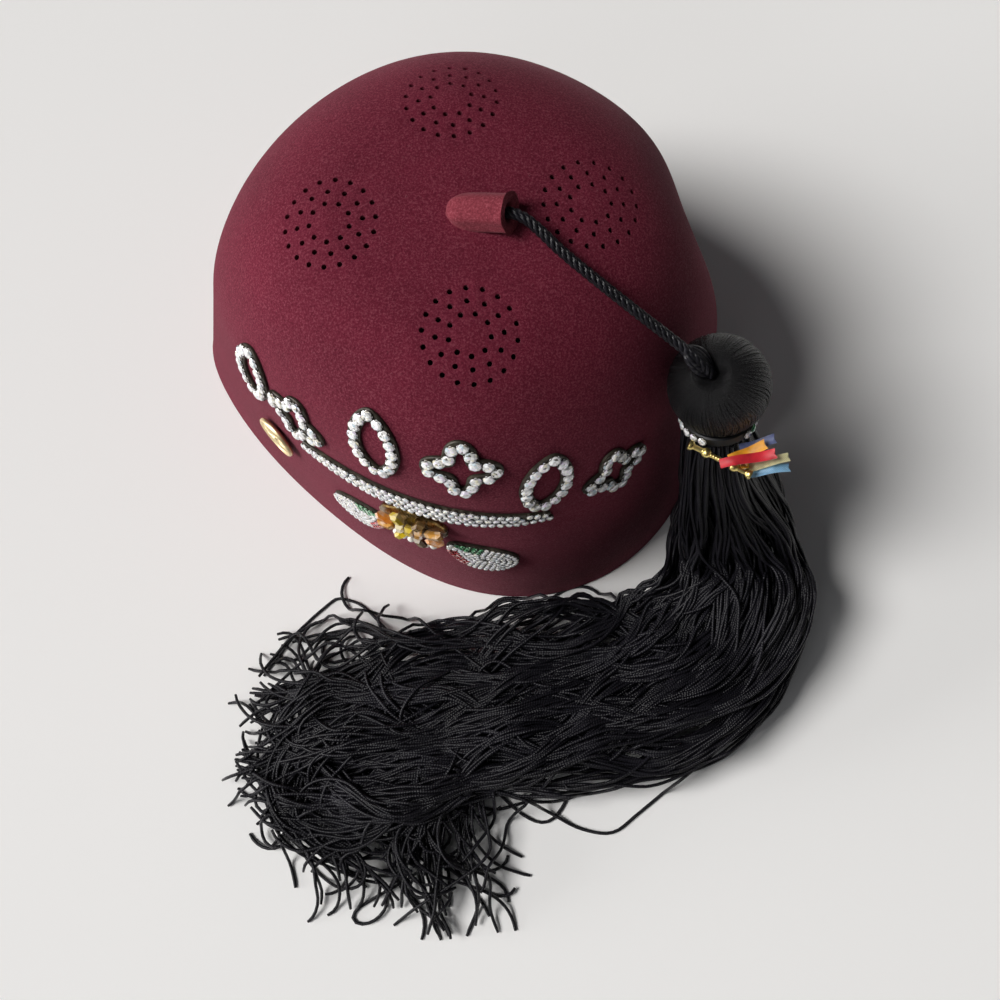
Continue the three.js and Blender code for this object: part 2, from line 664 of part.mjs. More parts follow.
function garlandGeometry() {
  const line = (t) => ({ x: GARLAND.span * (t - 0.5), y: GARLAND.arch * 4 * t * (1 - t) });
  const width = (t) => lerp(GARLAND.endWidth, GARLAND.middleWidth, Math.sin(Math.PI * t));
  return bandGeometry(GARLAND, line, width, MESHING.garland, false);
}

function pearlRowGeometry() {
  const line = (t) => turned(PEARLS.radius, 0, lerp(PEARLS.fromTurn, PEARLS.toTurn, t));
  return bandGeometry(BROOCH, line, () => PEARLS.width, MESHING.pearls, false);
}

function petalGeometry(sideways) {
  const middle = turned(PETAL.from + PETAL.length / 2, 0, -PETAL.droop);
  const outline = (t) => {
    const turn = 2 * Math.PI * t;
    const along = (PETAL.length / 2) * Math.cos(turn);
    const taper = 1 - PETAL.taper * Math.cos(turn);
    const rise = PETAL.halfWidth * taper * Math.sin(turn);
    const point = turned(PETAL.from + PETAL.length / 2 + along, rise, -PETAL.droop);
    return { x: sideways * point.x, y: point.y };
  };
  const direct = (t) => outline(sideways > 0 ? t : -t);
  return plateGeometry(BROOCH, direct, { x: sideways * middle.x, y: middle.y }, PETAL.dome, MESHING.petal);
}

function rosetteGeometry() {
  const outline = (t) => ({
    x: ROSETTE.halfWidth * Math.cos(2 * Math.PI * t),
    y: ROSETTE.halfHeight * Math.sin(2 * Math.PI * t),
  });
  return plateGeometry(BROOCH, outline, { x: 0, y: 0 }, ROSETTE.dome, MESHING.rosette);
}

// A long step-cut stone, widest at its girdle.
function baguetteGeometry(across, up, turn) {
  const outward = onWall(BROOCH, across, up, 2).sub(onWall(BROOCH, across, up, 0)).normalize();
  const eastward = onWall(BROOCH, across + 1, up, 0).sub(onWall(BROOCH, across - 1, up, 0)).normalize();
  const northward = outward.clone().cross(eastward).normalize();
  const centre = onWall(BROOCH, across, up, BAGUETTES.lift);
  const lengthwise = turned(1, 0, turn);
  const crosswise = turned(0, 1, turn);
  const direction = (pair) => new THREE.Vector3()
    .addScaledVector(eastward, pair.x)
    .addScaledVector(northward, pair.y);
  const corners = [[1, 1], [-1, 1], [-1, -1], [1, -1]];
  const rectangle = ({ size, rise }) => corners.map(([a, b]) => centre.clone()
    .addScaledVector(direction(lengthwise), (a * size * BAGUETTES.length) / 2)
    .addScaledVector(direction(crosswise), (b * size * BAGUETTES.width) / 2)
    .addScaledVector(outward, rise * BAGUETTES.height));
  return loftRings(BAGUETTE_CUT.map(rectangle));
}

function baguetteMeshes() {
  const places = [];
  const fan = 360 / BAGUETTES.ring;
  for (let index = 0; index < BAGUETTES.ring; index += 1) {
    const turn = fan * (index + 0.5);
    const out = turned(BAGUETTES.ringRadius, 0, turn);
    places.push({ x: out.x, y: out.y, turn });
  }
  for (let index = 0; index < BAGUETTES.middle; index += 1) {
    const x = (index - (BAGUETTES.middle - 1) / 2) * (BAGUETTES.width + GAP);
    places.push({ x, y: 0, turn: 90 });
  }
  return places.map((place, index) => {
    const geometry = baguetteGeometry(place.x, place.y, place.turn);
    return part(`baguette_${index + 1}`, geometry, FINISHES.amber);
  });
}

function buttonMesh() {
  const profile = [
    new THREE.Vector2(0, 0),
    new THREE.Vector2(BUTTON.radius - BUTTON.rim, 0),
    new THREE.Vector2(BUTTON.radius, BUTTON.rim),
    new THREE.Vector2(BUTTON.radius - BUTTON.rim, BUTTON.thickness - BUTTON.rim),
    new THREE.Vector2(BUTTON.flat * BUTTON.radius, BUTTON.thickness),
    new THREE.Vector2(0, BUTTON.thickness),
  ];
  const geometry = new THREE.LatheGeometry(profile, LATHE_SIDES);
  const out = onWall(BUTTON, 0, 0, 2).sub(onWall(BUTTON, 0, 0, 0)).normalize();
  geometry.applyQuaternion(new THREE.Quaternion().setFromUnitVectors(new THREE.Vector3(0, 1, 0), out));
  const at = onWall(BUTTON, 0, 0, BUTTON.lift);
  geometry.translate(at.x, at.y, at.z);
  return part('gold_button', geometry, FINISHES.gilt);
}

// ---------------------------------------------------------------- assembly
const hat = new THREE.Group();
hat.add(part('crown', crownGeometry(), FINISHES.felt));
hat.add(part('crown_stem', stemGeometry(crownEnvelope(GAP)), FINISHES.stemFelt));
hat.add(...motifMeshes());
hat.add(part('garland', garlandGeometry(), FINISHES.crystal));
hat.add(part('petal_left', petalGeometry(-1), FINISHES.crystal));
hat.add(part('petal_right', petalGeometry(1), FINISHES.crystal));
hat.add(part('rosette_base', rosetteGeometry(), FINISHES.gilt));
hat.add(...baguetteMeshes());
hat.add(part('pearl_row', pearlRowGeometry(), FINISHES.pearl));
hat.add(buttonMesh());
hat.add(part('tassel_cord', cordGeometry(), FINISHES.cord));
hat.add(part('tassel_head', headGeometry(), FINISHES.cord));
hat.add(part('tassel_collar', collarGeometry(), FINISHES.crystal));
hat.add(part('tassel_skirt', skirtGeometry(crownEnvelope(2 * GAP)), FINISHES.strands));
hat.add(part('pin_bar', pinGeometry(), FINISHES.gilt));
for (const ribbon of RIBBONS) {
  const satin = { color: ribbon.colour, roughness: RIBBON.roughness, metalness: 0 };
  hat.add(part(ribbon.name, ribbonGeometry(ribbon), satin));
}

export default hat;
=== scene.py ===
"""A soft felt fez with punched vents, paved ornaments and a long tassel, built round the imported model."""
import math
from functools import partial
from operator import itemgetter

import bmesh
import bpy
import numpy as np
from mathutils import Matrix, Vector


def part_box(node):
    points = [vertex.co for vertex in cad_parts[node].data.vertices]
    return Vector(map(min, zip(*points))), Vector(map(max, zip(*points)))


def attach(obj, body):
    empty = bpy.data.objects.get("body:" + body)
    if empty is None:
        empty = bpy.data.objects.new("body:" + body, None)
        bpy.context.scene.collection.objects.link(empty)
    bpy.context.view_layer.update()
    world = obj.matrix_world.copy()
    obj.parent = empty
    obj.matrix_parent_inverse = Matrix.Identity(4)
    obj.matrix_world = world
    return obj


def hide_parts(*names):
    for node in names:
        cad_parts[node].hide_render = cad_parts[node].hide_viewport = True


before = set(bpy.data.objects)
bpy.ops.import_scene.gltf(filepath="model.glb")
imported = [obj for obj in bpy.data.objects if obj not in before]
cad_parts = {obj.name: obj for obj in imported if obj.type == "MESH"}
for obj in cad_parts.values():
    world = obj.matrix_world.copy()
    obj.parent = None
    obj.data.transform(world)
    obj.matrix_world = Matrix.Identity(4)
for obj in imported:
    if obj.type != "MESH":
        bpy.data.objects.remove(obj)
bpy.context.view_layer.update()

bl_info = {
    "name": "Felt fez with a tassel",
    "version": (1, 0, 0),
    "blender": (4, 5, 0),
    "location": "3D View > Sidebar > Fez",
    "description": "Builds the fez, its tassel, its ornaments and the stage piece by piece",
    "category": "Add Mesh",
}

# ---------------------------------------------------------------- sizes, in millimetres and degrees
MM = 0.001
FELT = 2.4
WALL_HEIGHT = 140.0
DOME_RISE = 9.9
BEND_DROP = 56.0
BEND_INSET = 36.5
BEND_START = 0.45
BEND_END = 0.68
CROWN_LEAN = np.array([-4.9, -12.55])
RIM_OUTLINE = {"reach_x": 89.2, "reach_y": 99.5, "turn": 20.2, "egg": 3.7, "egg_turn": 53.4,
               "square": 0.0, "square_turn": 0.0}
CROWN_OUTLINE = {"reach_x": 75.4, "reach_y": 72.9, "turn": 0.0, "egg": 1.0, "egg_turn": 18.8,
                 "square": 1.2, "square_turn": 2.7}
FOLDS = [
    {"angle": 177.0, "push": 17.7, "spread": 24.0, "roundness": 7.0},
    {"angle": -5.0, "push": 5.4, "spread": 24.0, "roundness": 7.0},
]
DENTS = [
    {"angle": 12.4, "push": -5.3, "spread": 17.0, "height": 100.0, "reach": 32.0},
    {"angle": -3.0, "push": 2.5, "spread": 20.0, "height": 70.0, "reach": 40.0},
]
VENT_GROUPS = {"count": 4, "from_middle": 39.4, "turn": 3.3}
VENT_RINGS = [(14.2, 18), (10.2, 12), (6.4, 9)]
VENT_RADIUS = 0.85
VENT_PRESS_REACH = 1.5
RIM_ROUNDING = [(0.0, 1.0), (0.25, 0.3), (0.9, 0.0), (FELT - 0.9, 0.0), (FELT - 0.25, 0.3), (FELT, 1.0)]

STEM_SECTIONS = [
    (0.8, -12.1, 149.2, 2.2), (2.2, -12.3, 149.6, 4.2), (5.0, -12.8, 150.4, 5.5),
    (9.4, -13.7, 151.8, 5.8), (14.0, -14.8, 153.4, 5.8), (18.9, -16.1, 155.2, 5.8),
]
# The sleeve's mouth: radius and distance back into the bore. Rings wider than the ripple limit are uneven.
STEM_MOUTH = [(6.6, -0.25), (5.9, -0.4), (4.4, -0.15), (3.2, 0.1), (2.75, 0.7), (2.7, 3.0), (2.7, 8.0)]
STEM_MOUTH_RIPPLE = 4

CORD_STEP = 0.6
CORD_TWIST = {"plies": 4, "lay": 9.0, "offset": 1.02, "radius": 0.77}
OPENED_PLIES = (-2.9, -1.6, -0.4, 0.9, 2.1, 3.1)
OPENED_LENGTH = 22
CORD_ROUTE = [
    (14.35, -14.89, 153.53), (17.08, -15.62, 154.53), (19.85, -16.4, 155.5), (23.6, -18.5, 155.7),
    (27.8, -21.8, 154.4), (32, -25.4, 152.3), (36.1, -28.6, 150.5), (40, -31.6, 149.2),
    (43.9, -34.5, 147.8), (47.9, -37.3, 146.1), (51.9, -39.9, 144.2), (56, -42.5, 142.1),
    (60.1, -45, 139.9), (64.3, -47.5, 137.7), (68.4, -50.1, 135.7), (72.2, -52.7, 133.9),
    (75.4, -54.9, 132), (77.9, -56.4, 129.8), (79.6, -57, 127.2),
]

HEAD_MIDDLE = np.array([84.1, -55.9, 114.6])
HEAD_RADIUS = 16.4
DIMPLE_WAY = Vector((-0.31, -0.09, 0.95)).normalized()
NECK_WAY = Vector((0.09, -0.39, -0.92)).normalized()
HEAD_PARTS = {"dimple_floor": 11.6, "lip_radius": 6.2, "neck_radius": 10.2, "neck_end": -18.0}
COLLAR = {"inner": 10.6, "outer": 12.8, "top": -12.9, "bottom": -16.6}

# Skirt of strands: x, y, z, half width, half depth and the direction in which the width runs.
SKIRT = [
    (85.77, -63.14, 97.53, 10.6, 10.6, -20), (85.97, -64, 95.5, 11.6, 11.4, -20),
    (88, -67, 84, 14, 13.5, -20), (92.5, -71, 64, 18.5, 17, -18), (97, -77, 44, 22, 17.5, -14),
    (99.5, -87, 28, 25, 16, -12), (99.5, -101, 19.5, 28, 15, -14), (94.5, -114.5, 15.5, 29.5, 13.5, -34),
    (84.5, -126.5, 14, 31.5, 12.4, -56), (69, -135.4, 13.6, 33, 12, -70),
    (48, -139.3, 13.6, 32.5, 12, -80), (24, -142.3, 13.4, 34.5, 12, -86),
]
SKIRT_LEFT = [
    (0, -144, 13, 37.5, 11.5, -84), (-25, -147.5, 12.4, 39, 11, -82), (-48, -149, 11, 38, 9.5, -84),
    (-67, -147, 8.4, 34, 7, -92), (-85, -143, 5.4, 27, 4, -98),
]
SKIRT_TAIL = [
    (3, -158, 9.4, 28, 8, -40), (-6, -181, 8.8, 25, 7.5, -6), (-8, -200, 7.4, 25, 6, -2),
    (-6, -227, 4.6, 22, 3.5, 4),
]
SKIRT_CURL = [
    (2, -147, 12.6, 34, 11, -82), (-20, -153, 12, 30, 10, -82), (-40, -158, 10.5, 24, 8.5, -78),
    (-56, -162, 9, 19, 7, -50), (-59, -173, 7.5, 15, 6, -12), (-50, -184, 6, 13.5, 5, 26),
    (-34, -193, 5, 12, 4, 50), (-16, -201, 4, 11, 3, 62),
]
SKIRT_FAN = [
    (-2, -150, 12, 32, 8, -74), (-24, -166, 9, 25, 6, -46), (-32, -182, 6, 20, 5, -30),
    (-33, -198, 4, 16, 3, -20),
]
SKIRT_WAYS = {"left": SKIRT_LEFT, "curl": SKIRT_CURL, "tail": SKIRT_TAIL, "fan": SKIRT_FAN}
WAY_SHARES = {"left": 0.42, "curl": 0.2, "tail": 0.3, "fan": 0.08}
GUIDE_STEP = 2.2
STRAND_CLEARANCE = 1.6
STRAND_PIECES = 5
# A strand counts as landed over these steps of its guide, from a little before it comes down to the height.
LANDING = {"height": 21.0, "before": 12, "steps": 16.0}

PLATE_LIFT = 0.3
PLATE_THICKNESS = 0.95
BAND_WIDTH = 4.4
BAND_SECTION = [(1.0, 0.0), (1.0, 0.7), (0.86, 1.0), (-0.86, 1.0), (-1.0, 0.7), (-1.0, 0.0)]
STONE = {"radius": 2.12, "spacing": 4.1, "girdle": 1.25}
# A stone of unit radius, ring by ring: radius, height and turn in steps; then its cup.
STONE_PROFILE = [(0.35, -0.55, 0), (1.0, -0.06, 0), (1.0, 0.06, 0), (0.86, 0.3, 0.5), (0.55, 0.48, 0)]
CUP_PROFILE = [(0.8, -0.72), (1.0, -0.6), (1.05, 0.02), (0.99, 0.05), (0.95, -0.1), (0.5, -0.5)]
STONE_SIDES, CUP_SIDES = 8, 12
CLAW = {"lift": 0.16, "pull": 0.13}
COLLAR_STONE = {"count": 24, "radius": 1.55}
LEAF = {"half_height": 12.5, "half_width": 6.6}
FLOWER = {"radius": 8.2, "petal_depth": 2.6, "petals": 4}
MOTIFS = [
    {"angle": -154.0, "climb": 99.0, "tilt": 10.0, "shape": "leaf"},
    {"angle": -137.5, "climb": 101.0, "tilt": 0.0, "shape": "flower"},
    {"angle": -114.0, "climb": 119.0, "tilt": 14.0, "shape": "leaf"},
    {"angle": -92.0, "climb": 119.0, "tilt": 0.0, "shape": "flower"},
    {"angle": -73.0, "climb": 106.0, "tilt": -18.0, "shape": "leaf"},
    {"angle": -56.5, "climb": 92.0, "tilt": 0.0, "shape": "flower"},
]
GARLAND = {"angle": -104.5, "climb": 85.0, "span": 88.0, "arch": 5.5,
           "end_width": 4.4, "middle_width": 10.6}
BROOCH = {"angle": -105.0, "climb": 72.0}
GARLAND_STONE = {"radius": 1.34, "spacing": 2.65, "margin": 1.25}
PAVE = {"radius": 1.02, "spacing": 2.05}
PETAL = {"start": 17.2, "length": 28.0, "half_width": 10.0, "droop": 44.0, "taper": -0.25}
PETAL_ROWS = (-1.1, -3.1, -5.1, -7.1, -9.0)
ROSETTE = {"half_width": 12.0, "half_height": 11.6, "dome": 0.8, "scallop": 0.035, "scallops": 11}
LONG_CUT_TONES = [0, 2, 1, 3, 0, 1, 2, 3, 4, 1, 0]
PEARLS = {"from_turn": 248.0, "to_turn": 292.0, "radius": 18.2, "count": 6, "lift": 1.5, "bead": 1.52}
BUTTON = {"angle": -146.5, "climb": 59.0, "lift": 1.0, "rays": 12}
# The button from its edge to its middle: radius, height and how high the rays stand there.
BUTTON_PROFILE = [
    (0.3, 0, 0), (7.9, 0, 0), (8.5, 0.5, 0), (8.6, 1.0, 0), (8.45, 1.6, 0), (8.0, 1.95, 0),
    (7.5, 1.8, 0), (7.2, 1.35, 0), (6.9, 1.0, 0.2), (6.2, 1.05, 0.6), (5.0, 1.15, 0.8), (3.4, 1.25, 0.7),
    (2.2, 1.35, 0.4), (1.7, 1.4, 0.1), (1.5, 1.7, 0), (1.2, 2.1, 0), (0.7, 2.35, 0), (0.3, 2.4, 0),
]
PIN_ENDS = [(75, -71.9, 104.1), (94.6, -81.7, 101.3)]
PIN = {"radius": 0.9, "bead": 1.7, "beads": (0.02, 0.28, 0.72, 0.98),
       "grooves": np.arange(0.34, 0.67, 0.04)}
PIN_STONE = {"share": 0.82, "offset": (1.4, 1.5, 0.9), "facing": (-0.1, -0.25, 0.96), "radius": 1.8}
RIBBONS = [
    {"root": (85.5, -79.2, 106.6), "tip": (101.9, -76.4, 107), "width": 3.0, "tuck": 1.5},
    {"root": (92.2, -75.4, 103.8), "tip": (99.2, -72.8, 105), "width": 3.0, "tuck": 5.0},
    {"root": (96.4, -71.8, 101.8), "tip": (102.8, -70.4, 103), "width": 2.9, "tuck": 5.0},
    {"root": (96.8, -78.6, 101.2), "tip": (107.0, -76.4, 102.6), "width": 2.6, "tuck": 5.5},
    {"root": (97.0, -80.4, 99.6), "tip": (107.6, -78.9, 99.9), "width": 2.5, "tuck": 3.5},
]
RIBBON = {"thickness": 0.32, "wave": 0.8, "cup": 0.25, "notch": 0.9}
RIBBON_COLOURS = ("red", "gold", "slate", "cream", "sky")


# The stage is in metres. The camera starts out looking straight down and is tilted up from there.
FLOOR = {"size": 3.0, "cells": 12}
CAMERA = {"place": (0.01444, -0.20053, 0.50227), "tilt": 90 - 74.364, "roll": -1.157}


# ---------------------------------------------------------------- settings that a user may change
def length_setting(name, description, default):
    return bpy.props.FloatProperty(name=name, description=description, default=default, min=0.0,
                                   unit="LENGTH", subtype="DISTANCE", precision=5)


def colour_setting(name, description, default):
    return bpy.props.FloatVectorProperty(name=name, description=description, default=default, size=3,
                                         min=0.0, max=1.0, subtype="COLOR")


class FeltSettings(bpy.types.PropertyGroup):
    colour: colour_setting("Felt", "Colour of the crown's felt", (0.118, 0.0095, 0.0245))
    stem_colour: colour_setting("Stem", "Colour of the felt sleeve on the crown", (0.19, 0.028, 0.042))
    around: bpy.props.IntProperty(name="Around", description="Points round the crown", default=240)
    vent_press: length_setting("Vent press", "How far the punch pressed the felt in round a vent", 0.0003)


class OrnamentSettings(bpy.types.PropertyGroup):
    backing: colour_setting("Backing", "Colour of the settings under the stones", (0.05, 0.043, 0.03))
    green: colour_setting("Green stones", "Colour of the green accents", (0.01, 0.22, 0.07))
    red: colour_setting("Red stones", "Colour of the red accents", (0.42, 0.01, 0.02))
    gilt: colour_setting("Gilt", "Colour of the gilt metal", (0.83, 0.6, 0.22))
    pearl: colour_setting("Pearl", "Colour of the pearls", (0.86, 0.8, 0.72))
    amber_deep: colour_setting("Deep amber", "Darkest long-cut stones", (0.1, 0.03, 0.004))
    amber_mid: colour_setting("Amber", "Amber long-cut stones", (0.52, 0.2, 0.008))
    amber_pale: colour_setting("Yellow", "Lightest long-cut stones", (0.74, 0.53, 0.015))


class TasselSettings(bpy.types.PropertyGroup):
    strands: bpy.props.IntProperty(name="Strands", description="Strands in the skirt", default=440)
    locks: bpy.props.IntProperty(name="Locks", description="Bundles that the strands fall in", default=42)
    strand_radius: length_setting("Strand radius", "Radius of one twisted strand", 0.00064)
    sides: bpy.props.IntProperty(name="Sides", description="Sides of a strand's tube", default=5)
    singles: bpy.props.IntProperty(name="Singles", description="Strands that lie alone", default=16)
    threads: bpy.props.IntProperty(name="Threads", description="Threads wound over the ball", default=190)
    seed: bpy.props.IntProperty(name="Seed", description="Seed of the strands' fall", default=11)
    colour: colour_setting("Silk", "Colour of the tassel's silk", (0.0086, 0.008, 0.0108))
    red: colour_setting("Red ribbon", "Colour of the first ribbon", (0.62, 0.02, 0.035))
    gold: colour_setting("Gold ribbon", "Colour of the second ribbon", (0.75, 0.33, 0.02))
    slate: colour_setting("Slate ribbon", "Colour of the third ribbon", (0.12, 0.15, 0.32))
    cream: colour_setting("Cream ribbon", "Colour of the fourth ribbon", (0.78, 0.74, 0.42))
    sky: colour_setting("Sky ribbon", "Colour of the fifth ribbon", (0.24, 0.48, 0.72))


class StageSettings(bpy.types.PropertyGroup):
    floor: colour_setting("Floor", "Colour of the plain floor", (0.92, 0.915, 0.91))
    key: bpy.props.FloatProperty(name="Key", description="Strength of the key light from the left",
                                 default=2.65)
    low: bpy.props.FloatProperty(name="Low", description="Strength of the level light from the left",
                                 default=2.1)
    window: bpy.props.FloatProperty(name="Window", description="Watts of the small soft light in front",
                                    default=0.8, unit="POWER")
    fill: bpy.props.FloatProperty(name="Fill", description="Strength of the even light from all round",
                                  default=0.055, subtype="FACTOR")
    lens: bpy.props.FloatProperty(name="Lens", description="Focal length in millimetres", default=47.21)


# ---------------------------------------------------------------- the crown's surface
def unit(vectors):
    return vectors / np.linalg.norm(vectors, axis=-1, keepdims=True)


def outline_radius(shape, angle):
    along = np.radians(angle - shape["turn"])
    oval = shape["reach_x"] * shape["reach_y"] / np.hypot(
        shape["reach_y"] * np.cos(along), shape["reach_x"] * np.sin(along))
    egg = shape["egg"] * np.cos(3 * np.radians(angle - shape["egg_turn"]))
    return oval + egg + shape["square"] * np.cos(4 * np.radians(angle - shape["square_turn"]))


def wrap(angle):
    return (angle + 180.0) % 360.0 - 180.0


def fold_push(fold, angle):
    away = np.hypot(wrap(angle - fold["angle"]), fold["roundness"]) - fold["roundness"]
    return fold["push"] * np.exp(-away / fold["spread"])


def dent_push(dent, angle, height):
    away = wrap(angle - dent["angle"]) / dent["spread"]
    above = (height - dent["height"]) / dent["reach"]
    return dent["push"] * np.exp(-away ** 2 - above ** 2)


def mix(a, b, share):
    return a + (b - a) * share


def smooth_step(value, low, high):
    share = np.clip((value - low) / (high - low), 0.0, 1.0)
    return share * share * (3.0 - 2.0 * share)


def crown_polar(angle, level):
    """Radius from the leaning middle line, and height, of the felt's outer surface."""
    angle, level = np.broadcast_arrays(np.asarray(angle, float), np.asarray(level, float))
    rim = outline_radius(RIM_OUTLINE, angle) + sum(fold_push(fold, angle) for fold in FOLDS)
    edge = outline_radius(CROWN_OUTLINE, angle)
    bend_height = WALL_HEIGHT - BEND_DROP
    bend_radius = mix(rim, edge, bend_height / WALL_HEIGHT)
    top_radius = edge - BEND_INSET
    top_height = WALL_HEIGHT + DOME_RISE * (1 - (top_radius / edge) ** 2)
    share = np.clip(level / BEND_START, 0, 1)
    t = np.clip((level - BEND_START) / (BEND_END - BEND_START), 0, 1)
    dome_radius = top_radius * (1 - np.clip((level - BEND_END) / (1 - BEND_END), 0, 1))
    bend = (1 - t) ** 2 * bend_radius + 2 * t * (1 - t) * edge + t * t * top_radius
    radius = np.where(level <= BEND_START, mix(rim, bend_radius, share),
                      np.where(level <= BEND_END, bend, dome_radius))
    bend = (1 - t) ** 2 * bend_height + 2 * t * (1 - t) * WALL_HEIGHT + t * t * top_height
    dome = WALL_HEIGHT + DOME_RISE * (1 - (dome_radius / edge) ** 2)
    height = np.where(level <= BEND_START, bend_height * share, np.where(level <= BEND_END, bend, dome))
    dents = sum(dent_push(dent, angle, height) for dent in DENTS)
    return radius + dents * np.clip(radius / 20.0, 0, 1), height


def crown_surface(angle, level):
    radius, height = crown_polar(angle, level)
    angle = np.radians(np.broadcast_to(angle, radius.shape))
    lean = height / WALL_HEIGHT
    return np.stack([
        RIM_CENTRE[0] + CROWN_LEAN[0] * lean + radius * np.cos(angle),
        RIM_CENTRE[1] + CROWN_LEAN[1] * lean + radius * np.sin(angle), height], axis=-1)


def crown_normal(angle, level):
    at = np.clip(level, 0.004, 0.994)
    around = crown_surface(angle + 0.5, at) - crown_surface(angle - 0.5, at)
    up = crown_surface(angle, at + 0.003) - crown_surface(angle, at - 0.003)
    return unit(np.cross(around, up))


def rim_centre():
    """The middle that puts this surface's box where the crown's own box is."""
    low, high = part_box("crown")
    angle = np.arange(0, 360, 7.5)[:, None]
    box = crown_surface(angle, np.linspace(0, 0.45, 10)[None, :]).reshape(-1, 3)
    middle = (box.min(axis=0) + box.max(axis=0)) / 2
    return (np.array(low[:2]) + np.array(high[:2])) / (2 * MM) - middle[:2]


RIM_CENTRE = np.zeros(2)
RIM_CENTRE = rim_centre()


def level_at_climb(angle, climb):
    """Level at a distance climbed up the wall from the rim, for arrays of angles and climbs."""
    angle, climb = np.broadcast_arrays(np.asarray(angle, float), np.asarray(climb, float))
    levels = np.linspace(0, 0.95, 120)
    lines = crown_surface(angle.reshape(-1, 1), levels[None, :])
    walked = np.cumsum(np.linalg.norm(np.diff(lines, axis=1), axis=-1), axis=1)
    walked = np.concatenate([np.zeros((len(walked), 1)), walked], axis=1)
    found = [np.interp(c, row, levels) for c, row in zip(climb.ravel(), walked)]
    return np.array(found).reshape(angle.shape)


def on_wall(place, across, up, lift):
    """Points on the wall: across and up are measured on it from a place, lift along its normal."""
    across, up = np.broadcast_arrays(np.asarray(across, float), np.asarray(up, float))
    climb = place["climb"] + up
    level = level_at_climb(place["angle"], climb)
    radius, _ = crown_polar(place["angle"], level)
    angle = place["angle"] + np.degrees(across / radius)
    level = level_at_climb(angle, climb)
    return crown_surface(angle, level) + crown_normal(angle, level) * np.asarray(lift, float)[..., None]


def wall_frame(place, across, up, lift):
    """Points on the wall with the directions outwards and sideways there."""
    points = on_wall(place, across, up, lift)
    out = on_wall(place, across, up, np.asarray(lift, float) + 1.0) - points
    across = np.asarray(across)
    side = on_wall(place, across + 0.5, up, lift) - on_wall(place, across - 0.5, up, lift)
    out = unit(out)
    side -= out * np.sum(out * side, axis=-1, keepdims=True)
    return points, out, unit(side)


def walk(points):
    """Distance walked along a line at each of its points."""
    return np.concatenate([[0], np.cumsum(np.linalg.norm(np.diff(points, axis=0), axis=1))])


def circle(radius, height, count, turn=0.0):
    """A level ring of points; turn is in steps of the ring."""
    angle = 2 * np.pi * (np.arange(count) + turn) / count
    return np.stack([radius * np.cos(angle), radius * np.sin(angle), np.full(count, float(height))], axis=1)


def turned(x, y, degrees):
    turn = math.radians(degrees)
    return x * math.cos(turn) - y * math.sin(turn), x * math.sin(turn) + y * math.cos(turn)


# ---------------------------------------------------------------- meshes
def loft(rings, closed_path=False):
    """Vertices and faces of rings joined in a row, each end closed with a fan or the path with itself."""
    rings = [np.asarray(ring, float) for ring in rings]
    size = len(rings[0])
    verts = list(np.concatenate(rings))
    faces = []
    rows = len(rings) if closed_path else len(rings) - 1
    for row in range(rows):
        after = (row + 1) % len(rings)
        for side in range(size):
            turn = (side + 1) % size
            faces.append((row * size + side, row * size + turn, after * size + turn, after * size + side))
    if not closed_path:
        last = (len(rings) - 1) * size
        start, end = len(verts), len(verts) + 1
        verts += [rings[0].mean(axis=0), rings[-1].mean(axis=0)]
        for side in range(size):
            turn = (side + 1) % size
            faces.append((start, turn, side))
            faces.append((end, last + side, last + turn))
    return np.array(verts), faces


def joined(parts):
    """Several (vertices, faces) pairs as one."""
    verts, faces, base = [], [], 0
    for part_verts, part_faces in parts:
        verts.append(np.asarray(part_verts, float))
        faces += [tuple(index + base for index in face) for face in part_faces]
        base += len(part_verts)
    return np.concatenate(verts), faces


def linked(name, data):
    """A new object in the scene for a mesh, a lamp or a camera."""
    obj = bpy.data.objects.new(name, data)
    bpy.context.scene.collection.objects.link(obj)
    return obj


def mesh_object(name, verts, faces, smooth_angle=None):
    """A new object from millimetre vertices, its faces turned outwards."""
    mesh = bpy.data.meshes.new(name)
    mesh.from_pydata([tuple(v) for v in np.asarray(verts) * MM], [], faces)
    work = bmesh.new()
    work.from_mesh(mesh)
    bmesh.ops.remove_doubles(work, verts=work.verts, dist=1e-7)
    bmesh.ops.recalc_face_normals(work, faces=work.faces)
    work.to_mesh(mesh)
    work.free()
    obj = linked(name, mesh)
    if smooth_angle:
        mesh.shade_smooth()
        mesh.set_sharp_from_angle(angle=math.radians(smooth_angle))
    return obj


def settle(obj, material, slot, *nodes):
    """Finishes a piece: its material, the body it rides on and the solids it stands for. The slot argument
    is not used.
    """
    if not obj.data.materials:
        obj.data.materials.append(material)
    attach(obj, "root")
    if nodes:
        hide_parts(*nodes)


def baked(obj, modifier):
    """Turns the result of a modifier into the object's plain mesh and removes the modifier."""
    bpy.context.view_layer.update()
    graph = bpy.context.evaluated_depsgraph_get()
    result = bpy.data.meshes.new_from_object(obj.evaluated_get(graph), depsgraph=graph)
    obj.modifiers.remove(modifier)
    old = obj.data
    obj.data = result
    result.name = obj.name
    bpy.data.meshes.remove(old)
    return obj


# ---------------------------------------------------------------- geometry node trees
class Nodes:
    """Adds nodes to self.tree; an input is linked when it is given a socket, else it is set."""

    def add(self, kind, inputs=None, **settings):
        node = self.tree.nodes.new(kind)
        for name, value in settings.items():
            setattr(node, name, value)
        for key, value in (inputs or {}).items():
            socket = node.inputs[key]
            if isinstance(value, bpy.types.NodeSocket):
                self.tree.links.new(value, socket)
            else:
                socket.default_value = value
        return node


